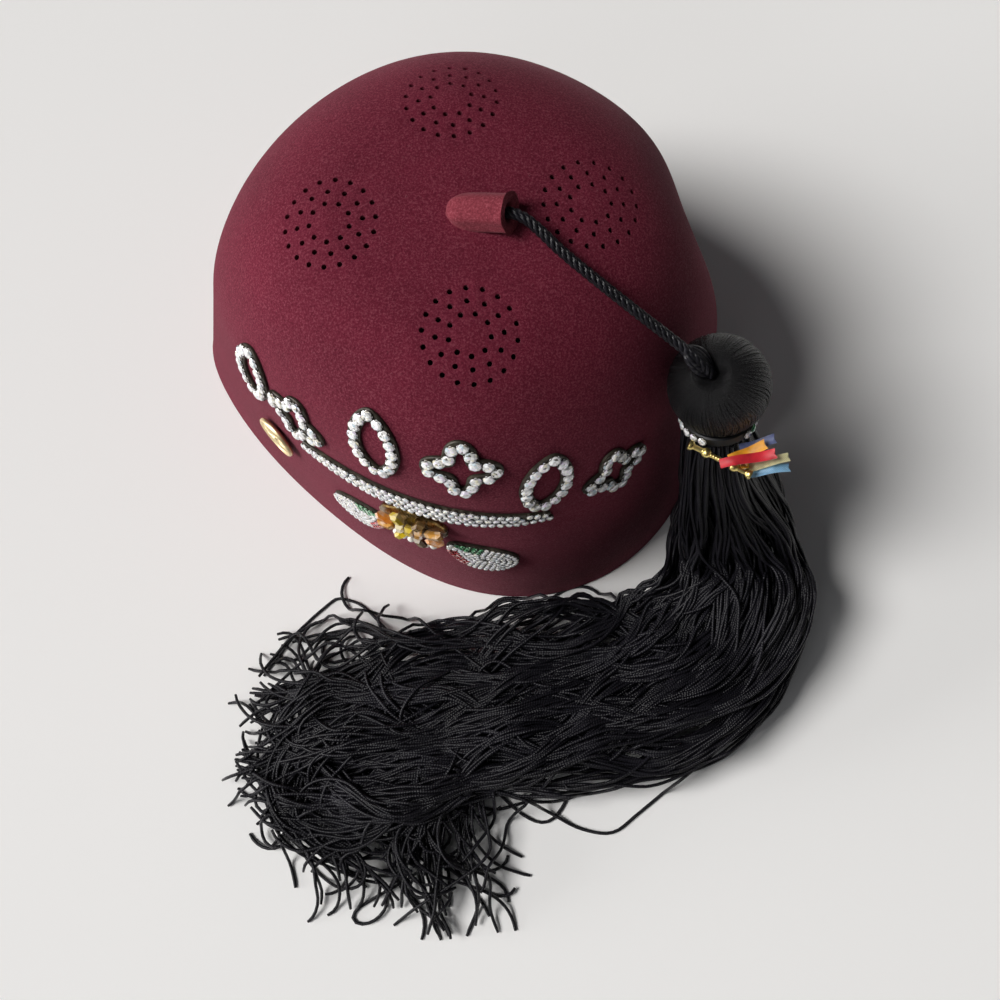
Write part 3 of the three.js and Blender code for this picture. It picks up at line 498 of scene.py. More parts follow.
class Tree(Nodes):
    """A geometry node tree in the making, with named inputs."""

    def __init__(self, name, inputs):
        self.tree = bpy.data.node_groups.new(name, "GeometryNodeTree")
        self.tree.is_modifier = True
        interface = self.tree.interface
        interface.new_socket("Geometry", in_out="INPUT", socket_type="NodeSocketGeometry")
        for label, kind, value in inputs:
            socket = interface.new_socket(label, in_out="INPUT", socket_type=kind)
            if value is not None:
                socket.default_value = value
        interface.new_socket("Geometry", in_out="OUTPUT", socket_type="NodeSocketGeometry")
        self.inputs = self.tree.nodes.new("NodeGroupInput").outputs

    def named(self, name, kind):
        node = self.add("GeometryNodeInputNamedAttribute", {"Name": name}, data_type=kind)
        return node.outputs["Attribute"]

    def close(self, geometry):
        real = self.add("GeometryNodeRealizeInstances", {"Geometry": geometry})
        coated = self.add("GeometryNodeSetMaterial",
                          {"Geometry": real.outputs[0], "Material": self.inputs["Material"]})
        end = self.tree.nodes.new("NodeGroupOutput")
        self.tree.links.new(coated.outputs[0], end.inputs[0])
        return self.tree


def thread_tree():
    """Tubes along lines: 'thickness' is a point's radius; 'along' and 'around' are for the material."""
    tree = Tree("threads", [("Sides", "NodeSocketInt", 5), ("Material", "NodeSocketMaterial", None)])
    lines = tree.add("GeometryNodeMeshToCurve", {"Mesh": tree.inputs["Geometry"]})
    sized = tree.add("GeometryNodeSetCurveRadius",
                     {"Curve": lines.outputs[0], "Radius": tree.named("thickness", "FLOAT")})
    walked = tree.add("GeometryNodeSplineParameter")
    marked = tree.add("GeometryNodeStoreNamedAttribute",
                      {"Geometry": sized.outputs[0], "Name": "along", "Value": walked.outputs["Length"]},
                      data_type="FLOAT", domain="POINT")
    ring = tree.add("GeometryNodeCurvePrimitiveCircle",
                    {"Resolution": tree.inputs["Sides"], "Radius": 1.0})
    spot = tree.add("GeometryNodeInputPosition")
    section = tree.add("GeometryNodeStoreNamedAttribute",
                       {"Geometry": ring.outputs[0], "Name": "around", "Value": spot.outputs[0]},
                       data_type="FLOAT_VECTOR", domain="POINT")
    tube = tree.add("GeometryNodeCurveToMesh",
                    {"Curve": marked.outputs[0], "Profile Curve": section.outputs[0], "Fill Caps": True})
    if "Scale" in tube.inputs:
        tree.tree.links.new(tree.named("thickness", "FLOAT"), tube.inputs["Scale"])
    soft = tree.add("GeometryNodeSetShadeSmooth", {"Geometry": tube.outputs[0]})
    return tree.close(soft.outputs[0])


def setting_tree():
    """A shape on every point, its Z along 'facing', its X along 'side' and its size from 'size'."""
    tree = Tree("settings", [("Shape", "NodeSocketObject", None),
                             ("Material", "NodeSocketMaterial", None)])
    shape = tree.add("GeometryNodeObjectInfo", {"Object": tree.inputs["Shape"]})
    out = tree.add("FunctionNodeAlignRotationToVector",
                   {"Vector": tree.named("facing", "FLOAT_VECTOR")}, axis="Z")
    turn = tree.add("FunctionNodeAlignRotationToVector",
                    {"Rotation": out.outputs[0], "Vector": tree.named("side", "FLOAT_VECTOR")},
                    axis="X", pivot_axis="Z")
    placed = tree.add("GeometryNodeInstanceOnPoints", {
        "Points": tree.inputs["Geometry"], "Instance": shape.outputs["Geometry"],
        "Rotation": turn.outputs[0], "Scale": tree.named("size", "FLOAT")})
    return tree.close(placed.outputs[0])


def run_tree(obj, group, values):
    modifier = obj.modifiers.new(group.name, "NODES")
    modifier.node_group = group
    items = group.interface.items_tree
    sockets = {item.name: item.identifier for item in items if item.in_out == "INPUT"}
    for name, value in values.items():
        modifier[sockets[name]] = value
    return baked(obj, modifier)


def threads(name, lines, radii, sides, material):
    """One mesh of tubes along millimetre lines, each with a radius or one radius a point."""
    counts = [len(line) for line in lines]
    verts = np.concatenate(lines) * MM
    starts = np.cumsum([0] + counts[:-1])
    edges = [(start + i, start + i + 1) for start, count in zip(starts, counts) for i in range(count - 1)]
    mesh = bpy.data.meshes.new(name)
    mesh.from_pydata([tuple(v) for v in verts], edges, [])
    thick = [np.broadcast_to(np.asarray(r, float), (count,)) for r, count in zip(radii, counts)]
    thick = np.concatenate(thick) * MM
    mesh.attributes.new("thickness", "FLOAT", "POINT").data.foreach_set("value", thick.astype(np.float32))
    return run_tree(linked(name, mesh), thread_tree(), {"Sides": sides, "Material": material})


def set_stones(name, points, facing, side, sizes, shape, material):
    """One mesh with the shape set at every point."""
    mesh = bpy.data.meshes.new(name)
    mesh.from_pydata([tuple(p) for p in np.asarray(points) * MM], [], [])
    for label, values in (("facing", facing), ("side", side)):
        data = mesh.attributes.new(label, "FLOAT_VECTOR", "POINT").data
        data.foreach_set("vector", np.asarray(values, np.float32).ravel())
    sizes = np.broadcast_to(np.asarray(sizes, float), (len(points),)) * MM
    mesh.attributes.new("size", "FLOAT", "POINT").data.foreach_set("value", sizes.astype(np.float32))
    return run_tree(linked(name, mesh), setting_tree(), {"Shape": shape, "Material": material})


def pattern(name, verts, faces, smooth_angle=None):
    """A small shape of unit size, in metres, that a tree repeats; it is thrown away afterwards."""
    return mesh_object(name, np.asarray(verts) / MM, faces, smooth_angle)


def discard(obj):
    mesh = obj.data
    bpy.data.objects.remove(obj)
    bpy.data.meshes.remove(mesh)


def glints(obj, seed):
    """Gives each facet its own random number, which the stones' materials turn into painted glints and
    painted reflections.
    """
    values = np.random.default_rng(seed).random(len(obj.data.polygons)).astype(np.float32)
    obj.data.attributes.new("glint", "FLOAT", "FACE").data.foreach_set("value", values)


# ---------------------------------------------------------------- materials
class Finish(Nodes):
    """A material in the making; a number or a colour goes straight on the shader's own socket."""

    def __init__(self, name, **sockets):
        self.material = bpy.data.materials.new(name)
        self.material.use_nodes = True
        self.tree = self.material.node_tree
        self.shader = self.tree.nodes["Principled BSDF"]
        for key, value in sockets.items():
            self.shader.inputs[key.replace("_", " ")].default_value = value

    def place(self):
        return self.add("ShaderNodeTexCoord").outputs["Object"]

    def noise(self, scale, detail=3.0, roughness=0.6, vector=None, distortion=0.0):
        return self.add("ShaderNodeTexNoise", {
            "Vector": vector or self.place(), "Scale": scale, "Detail": detail, "Roughness": roughness,
            "Distortion": distortion}).outputs["Fac"]

    def ramp(self, value, stops):
        node = self.add("ShaderNodeValToRGB", {"Fac": value})
        elements = node.color_ramp.elements
        while len(elements) < len(stops):
            elements.new(0.5)
        for element, (position, colour) in zip(elements, stops):
            element.position = position
            element.color = (*colour, 1.0)
        return node.outputs["Color"]

    def math(self, operation, first, second=0.0):
        return self.add("ShaderNodeMath", {0: first, 1: second}, operation=operation).outputs[0]

    def bump(self, *layers):
        """Layers of (height, strength, distance in metres), the first one deepest."""
        normal = None
        for height, strength, distance in layers:
            inputs = {"Height": height, "Strength": strength, "Distance": distance}
            if normal is not None:
                inputs["Normal"] = normal
            normal = self.add("ShaderNodeBump", inputs).outputs[0]
        self.tree.links.new(normal, self.shader.inputs["Normal"])

    def colour(self, socket):
        self.tree.links.new(socket, self.shader.inputs["Base Color"])

    def rough(self, value, low, high):
        spread = self.add("ShaderNodeMapRange", {"Value": value, "To Min": low, "To Max": high})
        self.tree.links.new(spread.outputs[0], self.shader.inputs["Roughness"])


def shade(colour, factor):
    return tuple(min(1.0, c * factor) for c in colour)


def tinted(colour, other, share):
    return tuple(mix(a, b, share) for a, b in zip(colour, other))


def felt_finish(name, colour):
    felt = Finish(name, Sheen_Weight=0.16, Sheen_Roughness=0.42, Sheen_Tint=(0.8, 0.36, 0.42, 1),
                  Specular_IOR_Level=0.15)
    mottle = felt.noise(24.0, 6.0, 0.66)
    nap = felt.noise(1500.0, 5.0, 0.8)
    flecks = felt.noise(900.0, 2.0, 0.4, distortion=2.5)
    ground = felt.ramp(mottle, [(0.3, shade(colour, 0.74)), (0.5, colour), (0.7, shade(colour, 1.25))])
    pale = tinted(shade(colour, 2.0), (0.4, 0.28, 0.3), 0.22)
    speckle = felt.ramp(nap, [(0.36, shade(colour, 0.25)), (0.5, colour), (0.64, pale)])
    blend = felt.add("ShaderNodeMix", {0: 0.5, 6: ground, 7: speckle}, data_type="RGBA").outputs[2]
    lint = felt.ramp(flecks, [(0.72, (0, 0, 0)), (0.78, (0.06, 0.045, 0.048))])
    felt.colour(felt.add("ShaderNodeMix", {0: 1.0, 6: blend, 7: lint}, data_type="RGBA",
                         blend_type="ADD").outputs[2])
    felt.rough(mottle, 0.86, 1.0)
    felt.bump((felt.noise(34.0, 4.0, 0.5), 0.35, 0.0012), (felt.noise(320.0, 4.0, 0.6), 0.5, 0.00035),
              (nap, 0.75, 0.0002))
    return felt.material


def silk_finish(name, colour, pitch, plies, depth, roughness=0.3, gloss=0.4, grain=0.00006, stray=0.0):
    """Twisted yarn: ridges wind round the tube, plies of them, one turn in each pitch; stray is how
    far a ridge wanders from its place beside the next yarn's."""
    silk = Finish(name, Specular_IOR_Level=gloss)
    along = silk.add("ShaderNodeAttribute", attribute_name="along").outputs["Fac"]
    spot = silk.add("ShaderNodeSeparateXYZ",
                    {0: silk.add("ShaderNodeAttribute", attribute_name="around").outputs["Vector"]})
    turn = silk.math("MULTIPLY", silk.math("ARCTAN2", spot.outputs[1], spot.outputs[0]), float(plies))
    phase = silk.math("ADD", turn, silk.math("MULTIPLY", along, 2 * math.pi / pitch))
    if stray:
        phase = silk.math("ADD", phase, silk.math("MULTIPLY", silk.noise(1500.0, 1.0), stray))
    ridge = silk.math("ADD", silk.math("MULTIPLY", silk.math("SINE", phase), 0.5), 0.5)
    patch = silk.noise(60.0, 3.0)
    base = silk.ramp(patch, [(0.3, shade(colour, 0.6)), (0.55, colour), (0.75, shade(colour, 1.7))])
    # Painted shade in the grooves of the twist and a painted highlight on its ridges, multiplied into the
    # base colour.
    twist_shade_and_highlight = silk.ramp(ridge, [(0.0, (0.45, 0.45, 0.48)), (0.5, (1.0, 1.0, 1.0)),
                               (1.0, (1.4, 1.4, 1.45))])
    silk.colour(silk.add("ShaderNodeMix", {0: 1.0, 6: base, 7: twist_shade_and_highlight}, data_type="RGBA",
                         blend_type="MULTIPLY").outputs[2])
    silk.rough(patch, roughness - 0.06, roughness + 0.12)
    silk.bump((ridge, 0.9, depth), (silk.noise(2300.0, 3.0, 0.7), 0.8, grain))
    return silk.material


def crystal_finish(name, stops, metallic):
    """Foiled cut stone: each facet shows its own painted glint or painted reflection, from dark to white,
    in the base colour.
    """
    stone = Finish(name, Metallic=metallic, Coat_Weight=1.0, Coat_Roughness=0.03, Specular_IOR_Level=0.8)
    painted_flash = stone.add("ShaderNodeAttribute", attribute_name="glint").outputs["Fac"]
    drift = stone.math("ADD", stone.math("MULTIPLY", stone.noise(240.0, 2.0), 0.5), -0.25)
    stone.colour(stone.ramp(stone.math("ADD", painted_flash, drift), stops))
    stone.rough(stone.noise(900.0, 2.0), 0.03, 0.14)
    return stone.material


def amber_finish(name, colour):
    """Long-cut glass: painted shade and a painted highlight on its facets, darker or lighter by the way
    each faces, and a painted glow of a foil inside.
    """
    glass = Finish(name, Metallic=0.15, Coat_Weight=0.4, Coat_Roughness=0.03, Specular_IOR_Level=0.5)
    facing = glass.add("ShaderNodeSeparateXYZ", {0: glass.add("ShaderNodeNewGeometry").outputs["Normal"]})
    steps = glass.math("FRACT", glass.math("ADD", glass.math("MULTIPLY", facing.outputs[0], 3.7),
                                           glass.math("MULTIPLY", facing.outputs[1], 2.3)))
    drift = glass.math("MULTIPLY", glass.noise(420.0, 2.0, distortion=0.6), 0.8)
    # The facing steps give painted shade on some facets and a painted highlight near white on others.
    glass.colour(glass.ramp(glass.math("ADD", glass.math("MULTIPLY", steps, 0.6), drift), [
        (0.15, shade(colour, 0.28)), (0.45, colour), (0.8, tinted(colour, (1, 0.85, 0.4), 0.15)),
        (0.97, tinted(colour, (1, 0.97, 0.85), 0.45))]))
    glass.rough(glass.noise(700.0, 2.0), 0.02, 0.12)
    return glass.material


def metal_finish(name, colour, wear=0.5, rough=(0.14, 0.42)):
    metal = Finish(name, Metallic=1.0)
    tarnish = metal.noise(130.0, 6.0, 0.65)
    metal.colour(metal.ramp(tarnish, [(0.3, shade(colour, 1 - wear)), (0.52, colour),
                                      (0.75, shade(colour, 1.15))]))
    metal.rough(metal.noise(420.0, 4.0), *rough)
    metal.bump((metal.noise(500.0, 4.0), 0.25, 0.00008))
    return metal.material


def enamel_finish(name, colour):
    enamel = Finish(name, Metallic=0.3, Specular_IOR_Level=0.5)
    cloud = enamel.noise(300.0, 4.0)
    enamel.colour(enamel.ramp(cloud, [(0.35, shade(colour, 0.5)), (0.6, colour),
                                      (0.8, shade(colour, 2.4))]))
    enamel.rough(cloud, 0.3, 0.6)
    enamel.bump((enamel.noise(1300.0, 3.0), 0.4, 0.00008))
    return enamel.material


def pearl_finish(name, colour):
    pearl = Finish(name, Coat_Weight=0.7, Coat_Roughness=0.12, Sheen_Weight=0.3, Specular_IOR_Level=0.6)
    cloud = pearl.noise(170.0, 4.0, 0.6, distortion=1.2)
    pearl.colour(pearl.ramp(cloud, [(0.3, tinted(colour, (0.8, 0.62, 0.6), 0.3)), (0.5, colour),
                                    (0.7, tinted(colour, (0.72, 0.82, 0.85), 0.35))]))
    pearl.rough(cloud, 0.16, 0.32)
    pearl.bump((pearl.noise(900.0, 3.0), 0.15, 0.00005))
    return pearl.material


def satin_finish(name, colour):
    """Satin ribbon: fine ribs across, a bright float along."""
    satin = Finish(name, Sheen_Weight=0.3, Sheen_Roughness=0.35, Specular_IOR_Level=0.6)
    place = satin.place()
    ribs = satin.add("ShaderNodeTexWave",
                     {"Vector": place, "Scale": 900.0, "Distortion": 1.0, "Detail": 2.0},
                     bands_direction="DIAGONAL").outputs["Fac"]
    cloud = satin.noise(240.0, 3.0, vector=place)
    satin.colour(satin.ramp(cloud, [(0.3, shade(colour, 0.72)), (0.5, colour),
                                    (0.72, shade(colour, 1.25))]))
    satin.rough(cloud, 0.28, 0.5)
    satin.bump((ribs, 0.5, 0.0001))
    return satin.material


def floor_finish(name, colour):
    floor = Finish(name, Specular_IOR_Level=0.25)
    cloud = floor.noise(1.4, 3.0)
    floor.colour(floor.ramp(cloud, [(0.3, shade(colour, 0.985)), (0.7, colour)]))
    floor.rough(floor.noise(40.0, 4.0), 0.62, 0.75)
    return floor.material


# ---------------------------------------------------------------- felt pieces
def vent_places():
    """Points and outward directions of the punched vents on the top."""
    points, ways = [], []
    turns = np.radians(VENT_GROUPS["turn"] + 360 * np.arange(VENT_GROUPS["count"]) / VENT_GROUPS["count"])
    levels = np.linspace(BEND_START, 1.0, 400)
    for direction in turns:
        middle = VENT_GROUPS["from_middle"] * np.array([math.cos(direction), math.sin(direction)])
        for radius, holes in VENT_RINGS:
            for turn in direction + 2 * np.pi * np.arange(holes) / holes:
                x, y = middle + radius * np.array([math.cos(turn), math.sin(turn)])
                angle = math.degrees(math.atan2(y, x))
                reach, _ = crown_polar(angle, levels)
                level = np.interp(-math.hypot(x, y), -reach, levels)
                points.append(crown_surface(angle, level))
                ways.append(crown_normal(angle, level))
    return np.array(points), np.array(ways)


def crown_rings(around, vents, press):
    """Rings from the top of the outer surface, round the rim's edge and back up the inner one."""
    angle = np.arange(around) * 360.0 / around
    outer_levels = np.concatenate([
        np.linspace(0.985, BEND_END, 44), np.linspace(BEND_END, BEND_START, 34)[1:],
        np.linspace(BEND_START, 0.008, 46)[1:]])
    inner_levels = np.concatenate([
        np.linspace(0.02, BEND_START, 16), np.linspace(BEND_START, 0.975, 34)[1:]])
    rings = []
    for level in outer_levels:
        ring, way = crown_surface(angle, level), crown_normal(angle, level)
        if level > 0.5:
            away = np.linalg.norm(ring[:, None, :] - vents[None, :, :], axis=-1).min(axis=1)
            ring -= way * (press * np.exp(-(away / VENT_PRESS_REACH) ** 2))[:, None]
        rings.append(ring)
    rim, way = crown_surface(angle, 0.0), crown_normal(angle, 0.0)
    for inset, height in RIM_ROUNDING:
        ring = rim - way * inset
        ring[:, 2] = height
        rings.append(ring)
    for level in inner_levels:
        rings.append(crown_surface(angle, level) - crown_normal(angle, level) * FELT)
    return rings


def build_crown(settings):
    vents, ways = vent_places()
    verts, faces = loft(crown_rings(settings.around, vents, settings.vent_press / MM))
    crown = mesh_object("crown_felt", verts, faces)
    stroke = 1.6 * FELT / VENT_RADIUS
    punch = pattern("punch", *loft([circle(1.0, z, 14) for z in (-stroke, stroke)]))
    felt = felt_finish("maroon_felt", settings.colour)
    side = np.cross(ways, (0.0, 1.0, 0.02))
    cutter = set_stones("vent_punches", vents, ways, side, VENT_RADIUS, punch, felt)
    cut = crown.modifiers.new("vents", "BOOLEAN")
    cut.operation = "DIFFERENCE"
    cut.solver = "MANIFOLD"
    cut.object = cutter
    baked(crown, cut)
    discard(cutter)
    discard(punch)
    crown.data.shade_smooth()
    crown.data.set_sharp_from_angle(angle=math.radians(55))
    crown.data.materials.clear()
    settle(crown, felt, "felt", "crown")


def path_frames(points):
    """Heading and two cross directions that turn as little as possible along a line."""
    heading = unit(np.gradient(points, axis=0))
    side = np.cross(heading[0], (0.0, 0.0, 1.0))
    sides = []
    for way in heading:
        side = side - way * np.dot(side, way)
        side /= np.linalg.norm(side)
        sides.append(side)
    sides = np.array(sides)
    return heading, sides, np.cross(heading, sides)


def smooth_rows(rows, spacing):
    """Rows of numbers joined by a smooth line through them and resampled evenly by their first three."""
    rows = np.asarray(rows, float)
    padded = np.concatenate([[2 * rows[0] - rows[1]], rows, [2 * rows[-1] - rows[-2]]])
    pieces = []
    for a, b, c, d in zip(padded, padded[1:], padded[2:], padded[3:]):
        t = np.linspace(0, 1, 24, endpoint=False)[:, None]
        pieces.append(0.5 * (2 * b + (c - a) * t + (2 * a - 5 * b + 4 * c - d) * t ** 2
                             + (3 * b - a - 3 * c + d) * t ** 3))
    line = np.concatenate([*pieces, rows[-1:]])
    walked = walk(line[:, :3])
    even = np.linspace(0, walked[-1], max(2, int(round(walked[-1] / spacing)) + 1))
    return np.stack([np.interp(even, walked, column) for column in line.T], axis=1)


def round_ring(centre, side, up, radius, count):
    turn = 2 * np.pi * np.arange(count) / count
    return centre + radius * (np.cos(turn)[:, None] * side + np.sin(turn)[:, None] * up)


def build_stem(settings):
    rows = smooth_rows(STEM_SECTIONS, 0.7)
    heading, side, up = path_frames(rows[:, :3])
    wobble = np.random.default_rng(3)
    count = 56
    turn = 2 * np.pi * np.arange(count) / count
    waves = sum(wobble.normal(0, 0.12) * np.cos(k * turn + wobble.uniform(0, 6.28)) for k in range(2, 7))
    rings = [round_ring(row[:3], s, u, (row[3] + waves)[:, None], count)
             for row, s, u in zip(rows, side, up)]
    for radius, back in STEM_MOUTH:
        ripple = (radius + waves * (radius > STEM_MOUTH_RIPPLE))[:, None]
        rings.append(round_ring(rows[-1, :3] - heading[-1] * back, side[-1], up[-1], ripple, count))
    stem = mesh_object("stem_felt_sleeve", *loft(rings), 60)
    settle(stem, felt_finish("rosy_felt", settings.stem_colour), "stem_felt", "crown_stem")


# ---------------------------------------------------------------- tassel
def cord_line():
    return smooth_rows(CORD_ROUTE, CORD_STEP)


def build_cord(settings):
    line = cord_line()
    _, side, up = path_frames(line)
    walked = walk(line)
    plies, offset = CORD_TWIST["plies"], CORD_TWIST["offset"]
    lines = []
    for ply in range(plies):
        turn = 2 * np.pi * (walked / CORD_TWIST["lay"] + ply / plies)
        lines.append(line + offset * (np.cos(turn)[:, None] * side + np.sin(turn)[:, None] * up))
    silk = silk_finish("cord_silk", settings.colour, 0.0016, 5, 0.00008, 0.3, 0.28)
    cord = threads("twisted_cord", lines, [CORD_TWIST["radius"]] * plies, 10, silk)
    settle(cord, silk, "silk_cord", "tassel_cord")


def head_place(points):
    """Bends millimetre points round the head's middle: its top to the dimple, its foot to the neck."""
    up = Vector((0, 0, 1))
    to_dimple = up.rotation_difference(DIMPLE_WAY)
    to_neck = (-up).rotation_difference(NECK_WAY)
    placed = []
    for point in np.asarray(points, float):
        spot = Vector(point)
        angle = math.degrees(spot.angle(up)) if spot.length > 0 else 0.0
        spot.rotate(to_dimple.slerp(to_neck, float(smooth_step(angle, 40.0, 130.0))))
        placed.append(tuple(spot))
    return np.array(placed) + HEAD_MIDDLE


def head_profile(inset):
    """Radius and height down the ball, from inside the dimple to the neck's end."""
    lip = math.asin(HEAD_PARTS["lip_radius"] / HEAD_RADIUS)
    neck = math.pi - math.asin(HEAD_PARTS["neck_radius"] / HEAD_RADIUS)
    angles = np.linspace(lip, neck, 22)
    radius = HEAD_RADIUS - inset
    bulge = np.stack([radius * np.sin(angles), radius * np.cos(angles)], axis=1)
    top = [(0.7, HEAD_PARTS["dimple_floor"] - 0.9), (1.3, 11.9 - inset), (2.3, 13.1 - inset),
           (3.6, 14.1 - inset), (4.9, 14.8 - inset)]
    neck_radius = HEAD_PARTS["neck_radius"] - inset
    foot = [(neck_radius, -15.0), (neck_radius, HEAD_PARTS["neck_end"])]
    return np.concatenate([top, bulge, foot])


def build_ball(settings):
    rng = np.random.default_rng(5)
    # The ball's silk is the tassel's silk darkened to three tenths: painted shade.
    silk = silk_finish("wound_silk", shade(settings.colour, 0.3), 0.0012, 1, 0.00022, 0.2, 0.4, 0.0005,
                       stray=22.0)
    lines, radii = [], []
    for index in range(settings.threads):
        thread = 0.34 + rng.uniform(-0.07, 0.07)
        profile = head_profile(thread * rng.uniform(0.7, 1.5))
        turn = 2 * np.pi * (index + rng.uniform(-0.2, 0.2)) / settings.threads
        swirl = turn + np.linspace(0, 1, len(profile)) * rng.normal(0.0, 0.03)
        radius, height = profile.T
        lines.append(head_place(np.stack([radius * np.cos(swirl), radius * np.sin(swirl), height], axis=1)))
        radii.append(np.clip(thread * radius / 6.0, 0.12, thread))
    ball = threads("ball_threads", lines, radii, 5, silk)
    settle(ball, silk, "wound_silk", "tassel_head")
    rings = [head_place(circle(radius, height, 48)) for radius, height in head_profile(0.42)]
    core = mesh_object("ball_core", *loft(rings), 60)
    settle(core, silk, "wound_silk")


def build_loops(settings):
    """The cord's plies open side by side before they go into the ball."""
    rng = np.random.default_rng(8)
    hole = head_place([(0, 0, HEAD_PARTS["dimple_floor"] + 1.2)])[0]
    start = cord_line()[-OPENED_LENGTH - 1]
    ahead = hole - start
    across = unit(np.cross(ahead, (0, 0, 1.0)))
    lines = []
    for spread in OPENED_PLIES:
        t = np.linspace(0, 1, 22)[:, None]
        bow = np.sin(np.pi * t) ** 0.8
        lift = (1.9 - 0.25 * spread * spread / 3) * np.sin(np.pi * t ** 0.8)
        path = start + ahead * t + across * bow * (spread + rng.normal(0, 0.15))
        path[:, 2] += (lift + rng.normal(0, 0.1)).ravel()
        lines.append(path)
    silk = silk_finish("loop_silk", settings.colour, 0.002, 2, 0.0002)
    loops = threads("cord_loops", lines, [0.85] * len(lines), 8, silk)
    settle(loops, silk, "silk_cord")


class Pile:
    """Height of what already lies on the floor, on a square grid of cells."""

    def __init__(self, low, high, cell):
        self.low, self.cell = np.asarray(low, float), cell
        shape = np.ceil((np.asarray(high) - self.low) / cell).astype(int) + 1
        self.heights = np.zeros(shape)

    def cells(self, points):
        spots = np.round((points - self.low) / self.cell).astype(int)
        return tuple(np.clip(spots[:, axis], 1, self.heights.shape[axis] - 2) for axis in (0, 1))

    def rest(self, points, radius):
        """Middle heights for a strand laid on the pile along finely spaced points."""
        x, y = self.cells(points)
        under = np.max([self.heights[x + i, y + j] for i in (-1, 0, 1) for j in (-1, 0, 1)], axis=0)
        return under + radius

    def raise_to(self, points, heights, radius):
        for i in (-1, 0, 1):
            for j in (-1, 0, 1):
                x, y = self.cells(points + np.array([i, j]) * self.cell)
                low = 0.0 if i == j == 0 else 0.35 * radius
                np.maximum.at(self.heights, (x, y), heights + radius - low)


def spread_over(values, window):
    """Moving average of the moving highest value."""
    half = window // 2
    padded = np.pad(values, half, mode="edge")
    highest = np.max([padded[i:i + len(values)] for i in range(window)], axis=0)
    padded = np.pad(highest, half, mode="edge")
    return np.mean([padded[i:i + len(values)] for i in range(window)], axis=0)


def waves(rng, walked, longest, shortest, size, count=3):
    """A smooth random line: a few sines between two wavelengths."""
    total = np.zeros_like(walked)
    for length in np.geomspace(longest, shortest, count):
        total += size * (length / longest) ** 0.7 * np.sin(
            2 * np.pi * walked / (length * rng.uniform(0.8, 1.25)) + rng.uniform(0, 2 * np.pi))
    return total


def wall_reach_table():
    angle = np.arange(0, 362, 2.0)
    levels = np.linspace(0, 0.97, 140)
    heights = np.arange(0, 146, 2.0)
    radius, height = crown_polar(angle[:, None], levels[None, :])
    return np.array([np.interp(heights, h, r) for h, r in zip(height, radius)])


WALL_REACH = wall_reach_table()


def keep_off_wall(points, clearance):
    """Moves points out of the crown, level, until they are clear of the felt."""
    height = np.clip(points[:, 2], 0, 143)
    middle = RIM_CENTRE + CROWN_LEAN * (height / WALL_HEIGHT)[:, None]
    away = points[:, :2] - middle
    reach = np.linalg.norm(away, axis=1)
    angle = np.degrees(np.arctan2(away[:, 1], away[:, 0])) % 360.0
    a, h = angle / 2.0, height / 2.0
    i, j = a.astype(int), h.astype(int)
    fa, fh = a - i, h - j
    table = WALL_REACH
    wanted = ((1 - fa) * (1 - fh) * table[i, j] + fa * (1 - fh) * table[i + 1, j]
              + (1 - fa) * fh * table[i, j + 1] + fa * fh * table[i + 1, j + 1]) + clearance
    moved = points.copy()
    moved[:, :2] = middle + away * (np.maximum(reach, wanted) / reach)[:, None]
    return moved


def guide(rows):
    """A skirt path's middle line, half sizes and cross directions, one row a step."""
    table = smooth_rows(rows, GUIDE_STEP)
    place = table[:, :3]
    heading = unit(np.gradient(place, axis=0))
    turn, steps = np.radians(table[:, 5]), np.arange(len(table))
    side = np.stack([np.cos(turn), np.sin(turn), np.zeros(len(table))], axis=1)
    depth = unit(np.cross(heading, side))
    foot = int(np.argmax(place[:, 2] < LANDING["height"]))
    landed = np.clip((steps - (foot - LANDING["before"])) / LANDING["steps"], 0, 1)
    return {"place": place, "width": table[:, 3], "depth_size": table[:, 4],
            "side": np.cross(depth, heading), "depth": depth, "walked": GUIDE_STEP * steps,
            "landed": landed, "roof": place[:, 2] + table[:, 4]}


def rounded(line, reach):
    """A line with its corners worn off: each point is the mean of its neighbours, the ends stay."""
    padded = np.pad(line, ((reach, reach), (0, 0)), mode="reflect", reflect_type="odd")
    weights = np.hanning(2 * reach + 3)[1:-1]
    weights /= weights.sum()
    return np.stack([np.convolve(column, weights, mode="valid") for column in padded.T], axis=1)


def lock_drift(walked, wander):
    """How far a lock has wandered from where it starts."""
    swing = np.sin(2 * np.pi * walked / wander["long"] + wander["turn"]) - math.sin(wander["turn"])
    ripple = 0.4 * np.sin(2 * np.pi * walked / (0.42 * wander["long"]) + wander["ripple"])
    return wander["size"] * (swing + ripple)


def fall(way, rng, lock, strand):
    """A strand's line through its path before it is laid on the floor."""
    walked, total = way["walked"], way["walked"][-1]
    share = walked / total
    loose = smooth_step(walked, 10.0, 130.0)
    u, v = (lock[axis] + loose * lock_drift(walked, lock["drift_" + axis]) for axis in "uv")
    size = np.maximum(np.hypot(u, v), 1.0)
    turn = strand["turn"] + 2 * np.pi * walked / strand["lay"]
    spread = strand["apart"] * mix(0.55, 1.0, loose) * mix(1.0, 1.9, smooth_step(share, 0.75, 1.0))
    across = way["width"] * u / size + spread * np.cos(turn) + loose * waves(rng, walked, 52.0, 15.0, 1.1)
    deep = way["depth_size"] * v / size + spread * np.sin(turn)
    deep = deep + loose * waves(rng, walked, 40.0, 14.0, 0.9)
    across += strand["stray"] * np.exp(-((share - strand["stray_at"]) / strand["stray_long"]) ** 2)
    left = strand["length"] * total - walked
    across += strand["hook"] * np.clip(1.0 - left / strand["hook_long"], 0.0, 1.3) ** 2
    across += smooth_step(share, 0.55, 0.9) * waves(rng, walked, 19.0, 11.0, strand["crimp"], 2)
    line = way["place"] + way["side"] * across[:, None] + way["depth"] * deep[:, None]
    return rounded(line, 3)[:int(strand["length"] * len(line))]


